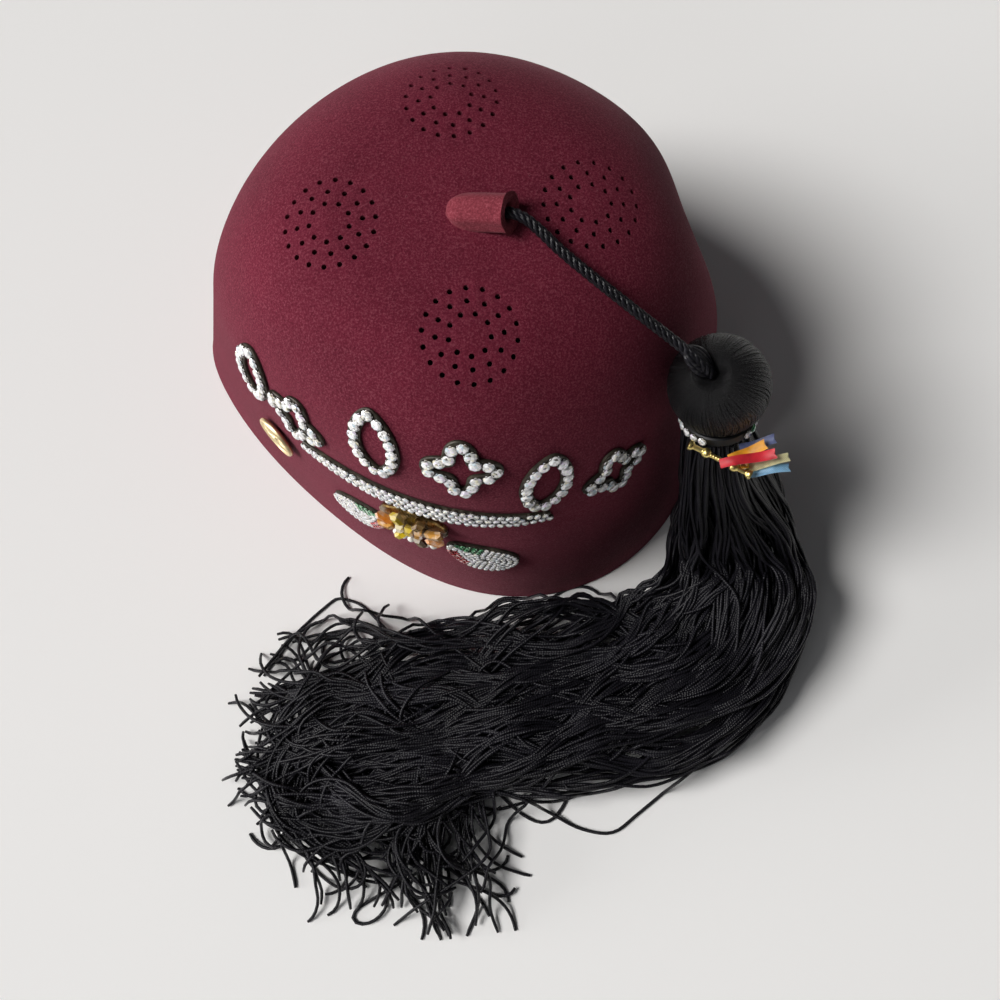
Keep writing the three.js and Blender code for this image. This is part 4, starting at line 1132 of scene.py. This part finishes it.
def curl_end(points, left, strand):
    """Winds the last part of a strand into a flat open curl."""
    bend = 2 * np.pi * strand["curl"] * np.clip(1.0 - left[1:] / strand["curl_long"], 0.0, 1.0) ** 1.3
    steps = np.diff(points[:, :2], axis=0)
    points[1:, 0] = points[0, 0] + np.cumsum(steps[:, 0] * np.cos(bend) - steps[:, 1] * np.sin(bend))
    points[1:, 1] = points[0, 1] + np.cumsum(steps[:, 0] * np.sin(bend) + steps[:, 1] * np.cos(bend))


def lay_down(line, way, lock, strand, pile, radius):
    """Lays the low part of a line on the pile and keeps the rest where it hangs."""
    step = 0.8
    walked = walk(line)
    fine = np.arange(0, walked[-1], step)
    points = np.stack([np.interp(fine, walked, column) for column in line.T], axis=1)
    rows = np.interp(fine, walked, np.arange(len(line)))
    curl_end(points, fine[-1] - fine, strand)
    landed = smooth_step(np.interp(rows, np.arange(len(way["landed"])), way["landed"]), 0.0, 1.0)
    swell = lock["roof"] + lock["swell"] * np.sin(2 * np.pi * fine / 62.0 + lock["swell_at"])
    roof = np.interp(rows, np.arange(len(way["roof"])), way["roof"]) * swell
    resting = np.minimum(spread_over(pile.rest(points[:, :2], radius), 7), roof)
    points[:, 2] = np.maximum(mix(points[:, 2], resting, landed), radius)
    down = landed > 0.5
    if down.any():
        pile.raise_to(points[down][:, :2], points[down][:, 2], radius)
    return points[::3]


def fallen_locks(rng, count):
    """Bundles of strands: where each starts in the skirt, how it wanders, and which path it takes."""
    locks = []
    for index in range(count):
        reach = math.sqrt((index + 0.5) / count) * 0.88
        start = 2.39996 * index
        u, v = reach * math.cos(start), reach * math.sin(start)
        size = rng.uniform(0.1, 0.3) + 0.32 * float(smooth_step(v, -0.2, 0.7)) * rng.uniform(0.3, 1.0)
        long = rng.uniform(120, 260)
        turns = rng.uniform(0, 2 * np.pi, 4)
        drifts = [{"size": size * share, "long": long, "turn": turns[k], "ripple": turns[k + 2]}
                  for k, share in enumerate((1.0, 0.7))]
        kind = rng.choice(list(WAY_SHARES), p=list(WAY_SHARES.values()))
        locks.append({"u": u, "v": v, "drift_u": drifts[0], "drift_v": drifts[1], "way": str(kind),
                      "roof": rng.uniform(0.74, 1.1), "swell": rng.uniform(0.05, 0.16),
                      "swell_at": turns[0]})
    return sorted(locks, key=itemgetter("v"))


def strand_manner(rng, frayed):
    """How one strand differs from its lock: its turn, its stray bow, its length and its end."""
    strays = rng.random() < (0.36 if frayed else 0.26)
    return {
        "turn": rng.uniform(0, 2 * np.pi), "lay": rng.choice([-1, 1]) * rng.uniform(120, 320),
        "apart": 3.5 * math.sqrt(rng.random()), "stray": rng.normal(0, 10.5) if strays else 0.0,
        "stray_at": rng.uniform(0.8 if frayed else 0.42, 1.0), "stray_long": rng.uniform(0.03, 0.08),
        "length": 1.0 - 0.17 * rng.random() ** 2, "hook": rng.normal(0, 9.0),
        "hook_long": rng.uniform(10.0, 38.0), "crimp": 1.5 * rng.random() ** 2,
        "curl": rng.normal(0, 0.42) if rng.random() < 0.5 else 0.0,
        "curl_long": rng.uniform(16.0, 44.0)}


def build_strands(settings):
    rng = np.random.default_rng(settings.seed)
    radius = settings.strand_radius / MM
    ways = {name: guide(SKIRT + rows) for name, rows in SKIRT_WAYS.items()}
    pile = Pile((-125.0, -250.0), (150.0, -20.0), 0.75)
    locks = fallen_locks(rng, settings.locks)
    singles = fallen_locks(rng, settings.singles)
    counts = np.diff(np.round(np.linspace(0, settings.strands, settings.locks + 1)).astype(int))
    lines = []
    for lock, count in [*zip(locks, counts), *((lock, 1) for lock in singles)]:
        way = ways[lock["way"]]
        for _ in range(count):
            strand = strand_manner(rng, lock["way"] in ("tail", "fan"))
            line = keep_off_wall(fall(way, rng, lock, strand), STRAND_CLEARANCE)
            lines.append(lay_down(line, way, lock, strand, pile, radius))
    silk = silk_finish("strand_silk", settings.colour, 0.00095, 1, 0.0001, 0.3, 0.22)
    for part in range(STRAND_PIECES):
        chosen = lines[part::STRAND_PIECES]
        radii = []
        for line in chosen:
            taper = np.full(len(line), radius)
            taper[-1] *= 0.8
            radii.append(taper * mix(0.8, 1.0, smooth_step(-line[:, 2], -97.0, -70.0)))
        piece = threads(f"skirt_strands_{part + 1}", chosen, radii, settings.sides, silk)
        settle(piece, silk, "silk_strands", *(["tassel_skirt"] if part == 0 else []))


def stone_shape():
    """A round cut stone of unit radius: pointed back, girdle, crown facets and a flat table."""
    return loft([circle(radius, height, STONE_SIDES, turn) for radius, height, turn in STONE_PROFILE])


def cup_shape():
    """The metal cup round a stone, with four small claws bent over its edge."""
    claw = np.arange(CUP_SIDES) % 3 == 0
    rings = []
    for radius, height in CUP_PROFILE:
        ring = circle(1.0, height, CUP_SIDES)
        bent = claw * (height > 0)
        ring[:, :2] *= (radius - CLAW["pull"] * bent)[:, None]
        ring[:, 2] += CLAW["lift"] * bent
        rings.append(ring)
    return loft(rings)


def build_collar_band():
    inner, outer = COLLAR["inner"] - 0.4, COLLAR["outer"] - 1.1
    bottom, top = COLLAR["bottom"], COLLAR["top"]
    profile = [(inner, bottom), (outer - 0.5, bottom), (outer, bottom + 0.5), (outer, top - 0.5),
               (outer - 0.5, top), (inner, top)]
    rings = [head_place(circle(radius, height, 96)) for radius, height in profile]
    band = mesh_object("collar_band", *loft(rings, closed_path=True), 40)
    settle(band, enamel_finish("collar_dark", (0.008, 0.008, 0.01)), "crystal", "tassel_collar")


def pin_ends():
    return (np.array(place, float) for place in PIN_ENDS)


def collar_stones():
    """The stones that the strands leave in sight on the collar, and the amber one on the pin."""
    count = COLLAR_STONE["count"]
    radius, height = COLLAR["outer"] - 0.75, (COLLAR["top"] + COLLAR["bottom"]) / 2
    points = head_place(circle(radius, height, count))
    out = head_place(circle(radius + 1, height, count)) - points
    side = np.roll(points, -1, axis=0) - points
    way = wrap(360.0 * np.arange(count) / count)
    left, right = np.abs(way) > 118.0, np.abs(way + 12.0) < 34.0
    tone = np.where(right & (np.arange(count) % 2 == 0), "green", "clear")
    gathered = [(points[i], out[i], side[i], COLLAR_STONE["radius"], str(tone[i]))
                for i in np.flatnonzero(left | right)]
    start, end = pin_ends()
    amber = PIN_STONE["offset"] + mix(start, end, PIN_STONE["share"])
    return gathered + [(amber, PIN_STONE["facing"], (1.0, 0.0, 0.0), PIN_STONE["radius"], "amber")]


def build_pin(ornament):
    start, end = pin_ends()
    length = np.linalg.norm(end - start)
    way = (end - start) / length
    side = unit(np.cross(way, (0, 0, 1.0)))
    up = np.cross(side, way)
    spots = np.linspace(0, length, 120)
    radius = np.full(len(spots), PIN["radius"])
    for bead in PIN["beads"]:
        away = spots - bead * length
        radius = np.maximum(radius, np.sqrt(np.clip(PIN["bead"] ** 2 - away ** 2, 0, None)))
    for twist_shade_and_highlight in PIN["grooves"]:
        radius -= 0.16 * np.exp(-((spots - twist_shade_and_highlight * length) / 0.22) ** 2)
    rings = [round_ring(start + way * s, side, up, r, 24) for s, r in zip(spots, radius)]
    gilt = metal_finish("pin_gilt", tinted(ornament.gilt, (1.0, 0.82, 0.3), 0.6), 0.2, (0.2, 0.4))
    settle(mesh_object("gilt_pin", *loft(rings), 50), gilt, "gilt", "pin_bar")


def build_ribbons(settings):
    thick = np.array((0, 0, RIBBON["thickness"]))
    spots = np.linspace(-1, 1, 7)
    cup = RIBBON["cup"] * (spots ** 2 - 0.4) + RIBBON["thickness"] / 2
    for number, (ribbon, shade_name) in enumerate(zip(RIBBONS, RIBBON_COLOURS)):
        root, tip = np.array(ribbon["root"], float), np.array(ribbon["tip"], float)
        root = root - ribbon["tuck"] * (tip - root) / np.linalg.norm(tip - root)
        along = tip - root
        across = unit(np.cross((0, 0, 1.0), along))
        rings = []
        for share in np.linspace(0, 1, 26):
            centre = root + along * share
            centre[2] += RIBBON["wave"] * math.sin(2 * math.pi * share + number)
            half = ribbon["width"] / 2 * (1 + 0.12 * share)
            notch = RIBBON["notch"] * (share == 1.0)
            top = [centre + across * half * s - unit(along) * notch * (1 - abs(s)) + (0, 0, c)
                   for s, c in zip(spots, cup)]
            rings.append(np.array(top + [point - thick for point in top[::-1]]))
        strip = mesh_object(f"satin_strip_{number + 1}", *loft(rings), 40)
        satin = satin_finish(f"satin_ribbon_{shade_name}", getattr(settings, shade_name))
        settle(strip, satin, f"ribbon_{shade_name}", f"ribbon_{number + 1}")


# ---------------------------------------------------------------- paved ornaments
def motif_line(motif, t):
    turn = 2 * math.pi * t
    if motif["shape"] == "leaf":
        x = LEAF["half_width"] * math.sin(turn) * abs(math.sin(turn)) ** 0.35
        return turned(x, LEAF["half_height"] * math.cos(turn), motif["tilt"])
    radius = FLOWER["radius"] + FLOWER["petal_depth"] * math.cos(FLOWER["petals"] * turn)
    return turned(radius * math.cos(turn), radius * math.sin(turn), motif["tilt"])


def band_width(t):
    return BAND_WIDTH


def garland_line(t):
    return GARLAND["span"] * (t - 0.5), GARLAND["arch"] * 4 * t * (1 - t)


def garland_width(t):
    return mix(GARLAND["end_width"], GARLAND["middle_width"], math.sin(math.pi * t))


def band_plate(place, line, width, count, closed):
    """A band on the wall with rounded edges, along a line drawn on it."""
    shares = np.arange(count if closed else count + 1) / count
    probe = 0.004
    spots = np.array([line(t) for t in shares])
    ahead = np.array([line(t + probe if closed else min(t + probe, 1)) for t in shares])
    behind = np.array([line(t - probe if closed else max(t - probe, 0)) for t in shares])
    way = unit(ahead - behind)
    normal = np.stack([-way[:, 1], way[:, 0]], axis=1)
    half = np.array([width(t) / 2 for t in shares])[:, None]
    rows = []
    for across, rise in BAND_SECTION:
        spot = spots + normal * half * across
        rows.append(on_wall(place, spot[:, 0], spot[:, 1], PLATE_LIFT + rise * PLATE_THICKNESS))
    return loft(list(np.stack(rows, axis=1)), closed_path=closed)


def even_shares(line, spacing, closed):
    """Shares of a line at which stones of a spacing sit side by side."""
    t = np.linspace(0, 1, 400)
    spots = np.array([line(share) for share in t])
    walked = walk(spots)
    count = int(round(walked[-1] / spacing)) + (0 if closed else 1)
    at = np.linspace(0, walked[-1], count, endpoint=not closed)
    return np.interp(at, walked, t)


def petal_outline(sideways, t, grow=0.0):
    turn = 2 * math.pi * t
    along = (PETAL["length"] / 2 + grow) * math.cos(turn)
    rise = (PETAL["half_width"] * (1 - PETAL["taper"] * math.cos(turn)) + grow) * math.sin(turn)
    x, y = turned(PETAL["start"] + PETAL["length"] / 2 + along, rise, -PETAL["droop"])
    return sideways * x, y


def plate(place, outline, middle, dome, count, thickness=PLATE_THICKNESS, rows=5):
    """A filled plate on the wall; its middle stands up by dome."""
    edge = np.array([outline(t) for t in np.arange(count) / count])
    middle = np.asarray(middle, float)
    rings = []
    for share, lift, swell in [(share, 0.0, 0.0) for share in np.linspace(0.15, 1.0, rows)] + [
            (1.0, 0.7, 0.0)] + [(share, 1.0, 1.0) for share in np.linspace(0.96, 0.1, rows)]:
        spot = mix(middle, edge, share)
        rings.append(on_wall(place, spot[:, 0], spot[:, 1],
                             PLATE_LIFT + lift * thickness + swell * dome * (1 - share * share)))
    return loft(rings)


def petal_stones(sideways):
    """Places and kinds of the stones on a petal, in rows inside its outline."""
    spots, kinds = [], []
    for row, grow in enumerate(PETAL_ROWS):
        line = partial(petal_outline, sideways, grow=grow)
        for share in even_shares(line, PAVE["spacing"], True):
            spots.append(line(share))
            along, rise = math.cos(2 * math.pi * share), math.sin(2 * math.pi * share)
            green = row < 3 and along < -0.4 and rise > 0.1
            red = row < 2 and rise < -0.35 and -0.8 < along < 0.2
            kinds.append("green" if green else "red" if red else "clear")
    return spots, kinds


def gather_stones():
    """Every stone on the wall: point, outward way, side way, size and kind."""
    rng = np.random.default_rng(21)
    gathered = []

    def take(place, spots, kinds, size):
        spots = np.array(spots)
        lift = PLATE_LIFT + STONE["girdle"]
        points, out, side = wall_frame(place, spots[:, 0], spots[:, 1], lift)
        for index in range(len(spots)):
            turn = rng.uniform(0, 6.28)
            tilt = rng.normal(0, 0.05, 3)
            way = side[index] * math.cos(turn) + np.cross(out[index], side[index]) * math.sin(turn)
            gathered.append((points[index], out[index] + tilt, way, size * rng.uniform(0.96, 1.04),
                             kinds[index]))

    for motif in MOTIFS:
        line = partial(motif_line, motif)
        shares = even_shares(line, STONE["spacing"], True)
        take(motif, [line(t) for t in shares], ["clear"] * len(shares), STONE["radius"])
    spots = []
    step = GARLAND_STONE["spacing"]
    for t in even_shares(garland_line, step, False):
        x, y = garland_line(t)
        reach = garland_width(t) / 2 - GARLAND_STONE["margin"]
        rows = 2 if reach < 1.9 else 3 if reach < 3.3 else 4
        for row, offset in enumerate(np.linspace(-reach, reach, rows)):
            if row % 2 == 0 or t < 0.99:
                slide = step / 2 * (row % 2)
                spots.append((x + slide + rng.normal(0, 0.12), y + offset + rng.normal(0, 0.1)))
    take(GARLAND, spots, ["clear"] * len(spots), GARLAND_STONE["radius"])
    for sideways in (-1, 1):
        take(BROOCH, *petal_stones(sideways), PAVE["radius"])
    return gathered


def crystal_stops(ornament):
    """Colours of the facets' painted glints and painted reflections for each kind of stone, and how
    metallic its foil is.
    """
    green, red = ornament.green, ornament.red
    return {
        "clear": ([
            (0.0, (0.12, 0.12, 0.11)), (0.07, (0.75, 0.75, 0.73)), (0.16, (1.0, 1.0, 1.0)),
            (0.33, (0.5, 0.5, 0.51)), (0.42, (1.0, 0.99, 0.96)), (0.55, (0.84, 0.74, 0.92)),
            (0.62, (1.0, 1.0, 1.0)), (0.75, (0.5, 0.62, 0.7)), (0.83, (1.0, 0.98, 0.93)),
            (0.93, (0.85, 0.8, 0.6)), (1.0, (0.25, 0.25, 0.23))], 0.1),
        "green": ([(0.0, shade(green, 0.3)), (0.4, green), (0.75, (0.2, 0.6, 0.3)),
                   (1.0, (0.7, 0.95, 0.75))], 0.55),
        "red": ([(0.0, shade(red, 0.3)), (0.4, red), (0.75, (0.8, 0.1, 0.12)),
                 (1.0, (1.0, 0.7, 0.68))], 0.55),
        "amber": ([(0.0, shade(ornament.amber_deep, 0.8)), (0.4, ornament.amber_mid),
                   (0.75, ornament.amber_pale), (1.0, (1.0, 0.85, 0.6))], 0.1),
    }


def shared(name, finish, *looks):
    """The material of this name, made when it isn't there yet."""
    return bpy.data.materials.get(name) or finish(name, *looks)


def build_stones(group, gathered, ornament):
    """A group's stones, one piece for each kind, and one piece with all their cups."""
    stone, cup = pattern("stone", *stone_shape()), pattern("cup", *cup_shape(), 30)
    backing = shared("dark_setting", enamel_finish, ornament.backing)
    points, out, side, size = (np.array([s[k] for s in gathered]) for k in range(4))
    out = unit(out)
    settle(set_stones(f"{group}_cups", points, out, side, size, cup, backing), backing, "crystal")
    for number, (kind, looks) in enumerate(crystal_stops(ornament).items()):
        chosen = np.array([s[4] == kind for s in gathered])
        if chosen.any():
            crystal = shared(f"{kind}_crystal", crystal_finish, *looks)
            piece = set_stones(f"{group}_stones_{kind}", points[chosen], out[chosen], side[chosen],
                               size[chosen], stone, crystal)
            glints(piece, 40 + number)
            settle(piece, crystal, "crystal")
    discard(stone)
    discard(cup)


def build_plates(ornament):
    backing = enamel_finish("dark_backing", ornament.backing)
    bands = [band_plate(motif, partial(motif_line, motif), band_width, 96, True) for motif in MOTIFS]
    motifs = mesh_object("motif_plates", *joined(bands), 35)
    settle(motifs, backing, "crystal", *[f"motif_{index + 1}" for index in range(len(MOTIFS))])
    garland = mesh_object("garland_plate", *band_plate(GARLAND, garland_line, garland_width, 90, False), 35)
    settle(garland, backing, "crystal", "garland")
    x, y = turned(PETAL["start"] + PETAL["length"] / 2, 0, -PETAL["droop"])
    petals = [plate(BROOCH, partial(petal_outline, way), (way * x, y), 0.3, 72) for way in (-1, 1)]
    wings = mesh_object("petal_plates", *joined(petals), 35)
    settle(wings, backing, "crystal", "petal_left", "petal_right")


def rosette_outline(t):
    scallop = 1 + ROSETTE["scallop"] * abs(math.sin(ROSETTE["scallops"] * math.pi * t))
    return (ROSETTE["half_width"] * scallop * math.cos(2 * math.pi * t),
            ROSETTE["half_height"] * scallop * math.sin(2 * math.pi * t))


def build_rosette(ornament):
    gilt = metal_finish("rosette_gilt", tinted(ornament.gilt, (0.1, 0.045, 0.015), 0.75), 0.6)
    face = plate(BROOCH, rosette_outline, (0, 0), ROSETTE["dome"], 176, 1.5, 7)
    base = mesh_object("rosette_setting", *face, 35)
    settle(base, gilt, "gilt", "rosette_base")
    tones = [ornament.amber_mid, ornament.amber_pale, ornament.amber_deep,
             tinted(ornament.amber_mid, (0.8, 0.18, 0.02), 0.5),
             tinted(ornament.amber_pale, (1, 0.97, 0.9), 0.55)]
    glasses = [amber_finish(f"long_cut_glass_{index + 1}", tone) for index, tone in enumerate(tones)]
    for number, tone in enumerate(LONG_CUT_TONES):
        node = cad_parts[f"baguette_{number + 1}"]
        for slot in node.material_slots:
            slot.material = glasses[tone]
        if not node.material_slots:
            node.data.materials.append(glasses[tone])


def build_pearls(ornament):
    turns = np.linspace(PEARLS["from_turn"], PEARLS["to_turn"], PEARLS["count"])
    spots = np.array([turned(PEARLS["radius"], 0, turn) for turn in turns])
    points, out, side = wall_frame(BROOCH, spots[:, 0], spots[:, 1], PLATE_LIFT + PEARLS["lift"])
    rings = [circle(math.sin(turn), -0.96 * math.cos(turn), 14)
             for turn in np.linspace(0.25, math.pi - 0.25, 9)]
    bead = pattern("pearl", *loft(rings), 80)
    pearl = pearl_finish("pearl_lustre", ornament.pearl)
    pearls = set_stones("pearl_beads", points, out, side, PEARLS["bead"], bead, pearl)
    settle(pearls, pearl, "pearl", "pearl_row")
    discard(bead)


def build_button(ornament):
    """A round gilt button: a raised rim, a ring of rays and a domed middle."""
    middle = np.array([0.0])
    point, out, side = (found[0] for found in wall_frame(BUTTON, middle, middle, BUTTON["lift"]))
    up = np.cross(out, side)
    turn = 2 * np.pi * np.arange(144) / 144
    rays = 0.5 + 0.5 * np.cos(BUTTON["rays"] * turn)
    rings = []
    for radius, height, ray in BUTTON_PROFILE:
        flat = radius * (np.cos(turn)[:, None] * side + np.sin(turn)[:, None] * up)
        rings.append(point + flat + out * (height + ray * rays)[:, None])
    gilt = metal_finish("button_gilt", tinted(ornament.gilt, (1.0, 0.86, 0.6), 0.6), 0.35, (0.34, 0.5))
    settle(mesh_object("gilt_button", *loft(rings), 40), gilt, "gilt", "gold_button")


# ---------------------------------------------------------------- stage
def light(kind, name, place, target, power, colour, **more):
    data = bpy.data.lights.new(name, kind)
    data.energy, data.color = power, colour
    for field, value in more.items():
        setattr(data, field, value)
    way = Vector(target) - Vector(place)
    linked(name, data).matrix_world = Matrix.LocRotScale(Vector(place), way.to_track_quat("-Z", "Y"), None)


def build_stage(settings):
    scene = bpy.context.scene
    size, cells = FLOOR["size"], FLOOR["cells"]
    verts = [((column / cells - 0.5) * size, (row / cells - 0.5) * size, 0.0)
             for row in range(cells + 1) for column in range(cells + 1)]
    starts = [row * (cells + 1) + column for row in range(cells) for column in range(cells)]
    mesh = bpy.data.meshes.new("floor")
    mesh.from_pydata(verts, [], [(i, i + 1, i + cells + 2, i + cells + 1) for i in starts])
    floor = linked("floor", mesh)
    mesh.materials.append(floor_finish("plain_floor", settings.floor))
    light("SUN", "key", (-0.64, -0.06, 0.79), (0, 0, 0), settings.key, (1.0, 0.985, 0.965),
          angle=math.radians(26))
    light("SUN", "low", (-1.0, -0.05, 0.12), (0, 0, 0), settings.low, (1.0, 0.985, 0.97),
          angle=math.radians(30))
    light("AREA", "window", (-0.45, -0.7, 0.75), (0.03, -0.09, 0.05), settings.window, (0.97, 0.98, 1.0),
          shape="RECTANGLE", size=0.5, size_y=0.35)
    world = bpy.data.worlds.new("soft_room")
    world.use_nodes = True
    background = world.node_tree.nodes["Background"].inputs
    background["Color"].default_value = (0.96, 0.97, 1.0, 1.0)
    background["Strength"].default_value = settings.fill
    scene.world = world
    scene.view_settings.view_transform = "Standard"
    data = bpy.data.cameras.new("camera")
    data.sensor_width = 36.0
    data.lens = settings.lens
    data.clip_start = 0.01
    tilt = Matrix.Rotation(math.radians(CAMERA["tilt"]), 4, "X")
    roll = Matrix.Rotation(math.radians(CAMERA["roll"]), 4, "Z")
    scene.camera = linked("camera", data)
    scene.camera.matrix_world = Matrix.Translation(CAMERA["place"]) @ tilt @ roll


# ---------------------------------------------------------------- operators
class FEZ_OT_stage(bpy.types.Operator):
    """Lay the floor and set the lights and the camera"""
    bl_idname = "fez.stage"
    bl_label = "Stage"

    def execute(self, context):
        build_stage(context.scene.fez_stage)
        return {"FINISHED"}


class FEZ_OT_cord(bpy.types.Operator):
    """Twist the plies of the tassel's cord"""
    bl_idname = "fez.cord"
    bl_label = "Cord"

    def execute(self, context):
        build_cord(context.scene.fez_tassel)
        return {"FINISHED"}


class FEZ_OT_ball(bpy.types.Operator):
    """Wind the silk threads of the tassel's head"""
    bl_idname = "fez.ball"
    bl_label = "Ball"

    def execute(self, context):
        build_ball(context.scene.fez_tassel)
        return {"FINISHED"}


class FEZ_OT_loops(bpy.types.Operator):
    """Open the plies where the cord goes into the head"""
    bl_idname = "fez.loops"
    bl_label = "Loops"

    def execute(self, context):
        build_loops(context.scene.fez_tassel)
        return {"FINISHED"}


class FEZ_OT_strands(bpy.types.Operator):
    """Let the skirt's strands hang and fall on the floor"""
    bl_idname = "fez.strands"
    bl_label = "Strands"

    def execute(self, context):
        build_strands(context.scene.fez_tassel)
        return {"FINISHED"}


class FEZ_OT_collar(bpy.types.Operator):
    """Put the band round the tassel's neck"""
    bl_idname = "fez.collar"
    bl_label = "Collar"

    def execute(self, context):
        build_collar_band()
        return {"FINISHED"}


class FEZ_OT_wall_stones(bpy.types.Operator):
    """Set the stones and cups of the ornaments"""
    bl_idname = "fez.wall_stones"
    bl_label = "Wall stones"

    def execute(self, context):
        build_stones("wall", gather_stones(), context.scene.fez_ornament)
        return {"FINISHED"}


class FEZ_OT_collar_stones(bpy.types.Operator):
    """Set the stones and cups on the collar and the pin"""
    bl_idname = "fez.collar_stones"
    bl_label = "Collar stones"

    def execute(self, context):
        build_stones("collar", collar_stones(), context.scene.fez_ornament)
        return {"FINISHED"}


class FEZ_OT_pin(bpy.types.Operator):
    """Turn the gilt bar with its beads"""
    bl_idname = "fez.pin"
    bl_label = "Pin"

    def execute(self, context):
        build_pin(context.scene.fez_ornament)
        return {"FINISHED"}


class FEZ_OT_ribbons(bpy.types.Operator):
    """Cut the five short ribbons on the pin"""
    bl_idname = "fez.ribbons"
    bl_label = "Ribbons"

    def execute(self, context):
        build_ribbons(context.scene.fez_tassel)
        return {"FINISHED"}


class FEZ_OT_hang(bpy.types.Operator):
    bl_idname = "fez.hang"
    bl_label = "Hang"

    def execute(self, context):
        return {"FINISHED"}


class FEZ_OT_crown(bpy.types.Operator):
    """Form the felt crown and punch its vents"""
    bl_idname = "fez.crown"
    bl_label = "Crown"

    def execute(self, context):
        build_crown(context.scene.fez_felt)
        return {"FINISHED"}


class FEZ_OT_stem(bpy.types.Operator):
    """Roll the felt sleeve that the cord comes out of"""
    bl_idname = "fez.stem"
    bl_label = "Stem"

    def execute(self, context):
        build_stem(context.scene.fez_felt)
        return {"FINISHED"}


class FEZ_OT_plates(bpy.types.Operator):
    """Form the plates under the paved stones"""
    bl_idname = "fez.plates"
    bl_label = "Plates"

    def execute(self, context):
        build_plates(context.scene.fez_ornament)
        return {"FINISHED"}


class FEZ_OT_rosette(bpy.types.Operator):
    """Form the brooch's middle and colour its long-cut stones"""
    bl_idname = "fez.rosette"
    bl_label = "Rosette"

    def execute(self, context):
        build_rosette(context.scene.fez_ornament)
        return {"FINISHED"}


class FEZ_OT_pearls(bpy.types.Operator):
    """Set the row of pearls under the brooch"""
    bl_idname = "fez.pearls"
    bl_label = "Pearls"

    def execute(self, context):
        build_pearls(context.scene.fez_ornament)
        return {"FINISHED"}


class FEZ_OT_button(bpy.types.Operator):
    """Stamp the round gilt button"""
    bl_idname = "fez.button"
    bl_label = "Button"

    def execute(self, context):
        build_button(context.scene.fez_ornament)
        return {"FINISHED"}


# In the order in which main() runs them.
OPERATORS = [
    FEZ_OT_stage, FEZ_OT_cord, FEZ_OT_ball, FEZ_OT_loops, FEZ_OT_strands, FEZ_OT_collar,
    FEZ_OT_wall_stones, FEZ_OT_collar_stones, FEZ_OT_pin, FEZ_OT_ribbons, FEZ_OT_hang, FEZ_OT_crown,
    FEZ_OT_stem, FEZ_OT_plates, FEZ_OT_rosette, FEZ_OT_pearls, FEZ_OT_button,
]
SETTINGS = {"fez_stage": StageSettings, "fez_felt": FeltSettings, "fez_tassel": TasselSettings,
            "fez_ornament": OrnamentSettings}


class FEZ_PT_pieces(bpy.types.Panel):
    """The fez's pieces and their settings"""
    bl_idname = "FEZ_PT_pieces"
    bl_label = "Fez"
    bl_space_type = "VIEW_3D"
    bl_region_type = "UI"
    bl_category = "Fez"

    def draw(self, context):
        for operator in OPERATORS:
            self.layout.operator(operator.bl_idname)
        for name, group in SETTINGS.items():
            box = self.layout.box()
            for field in group.__annotations__:
                box.prop(getattr(context.scene, name), field)


def register():
    for cls in [*SETTINGS.values(), *OPERATORS, FEZ_PT_pieces]:
        bpy.utils.register_class(cls)
    for name, group in SETTINGS.items():
        setattr(bpy.types.Scene, name, bpy.props.PointerProperty(type=group))


def unregister():
    for name in SETTINGS:
        delattr(bpy.types.Scene, name)
    for cls in [FEZ_PT_pieces, *reversed(OPERATORS), *reversed(SETTINGS.values())]:
        bpy.utils.unregister_class(cls)


def main():
    register()
    bpy.ops.fez.stage()
    bpy.ops.fez.cord()
    bpy.ops.fez.ball()
    bpy.ops.fez.loops()
    bpy.ops.fez.strands()
    bpy.ops.fez.collar()
    bpy.ops.fez.wall_stones()
    bpy.ops.fez.collar_stones()
    bpy.ops.fez.pin()
    bpy.ops.fez.ribbons()
    bpy.ops.fez.hang()
    bpy.ops.fez.crown()
    bpy.ops.fez.stem()
    bpy.ops.fez.plates()
    bpy.ops.fez.rosette()
    bpy.ops.fez.pearls()
    bpy.ops.fez.button()


if __name__ == "__main__":
    main()
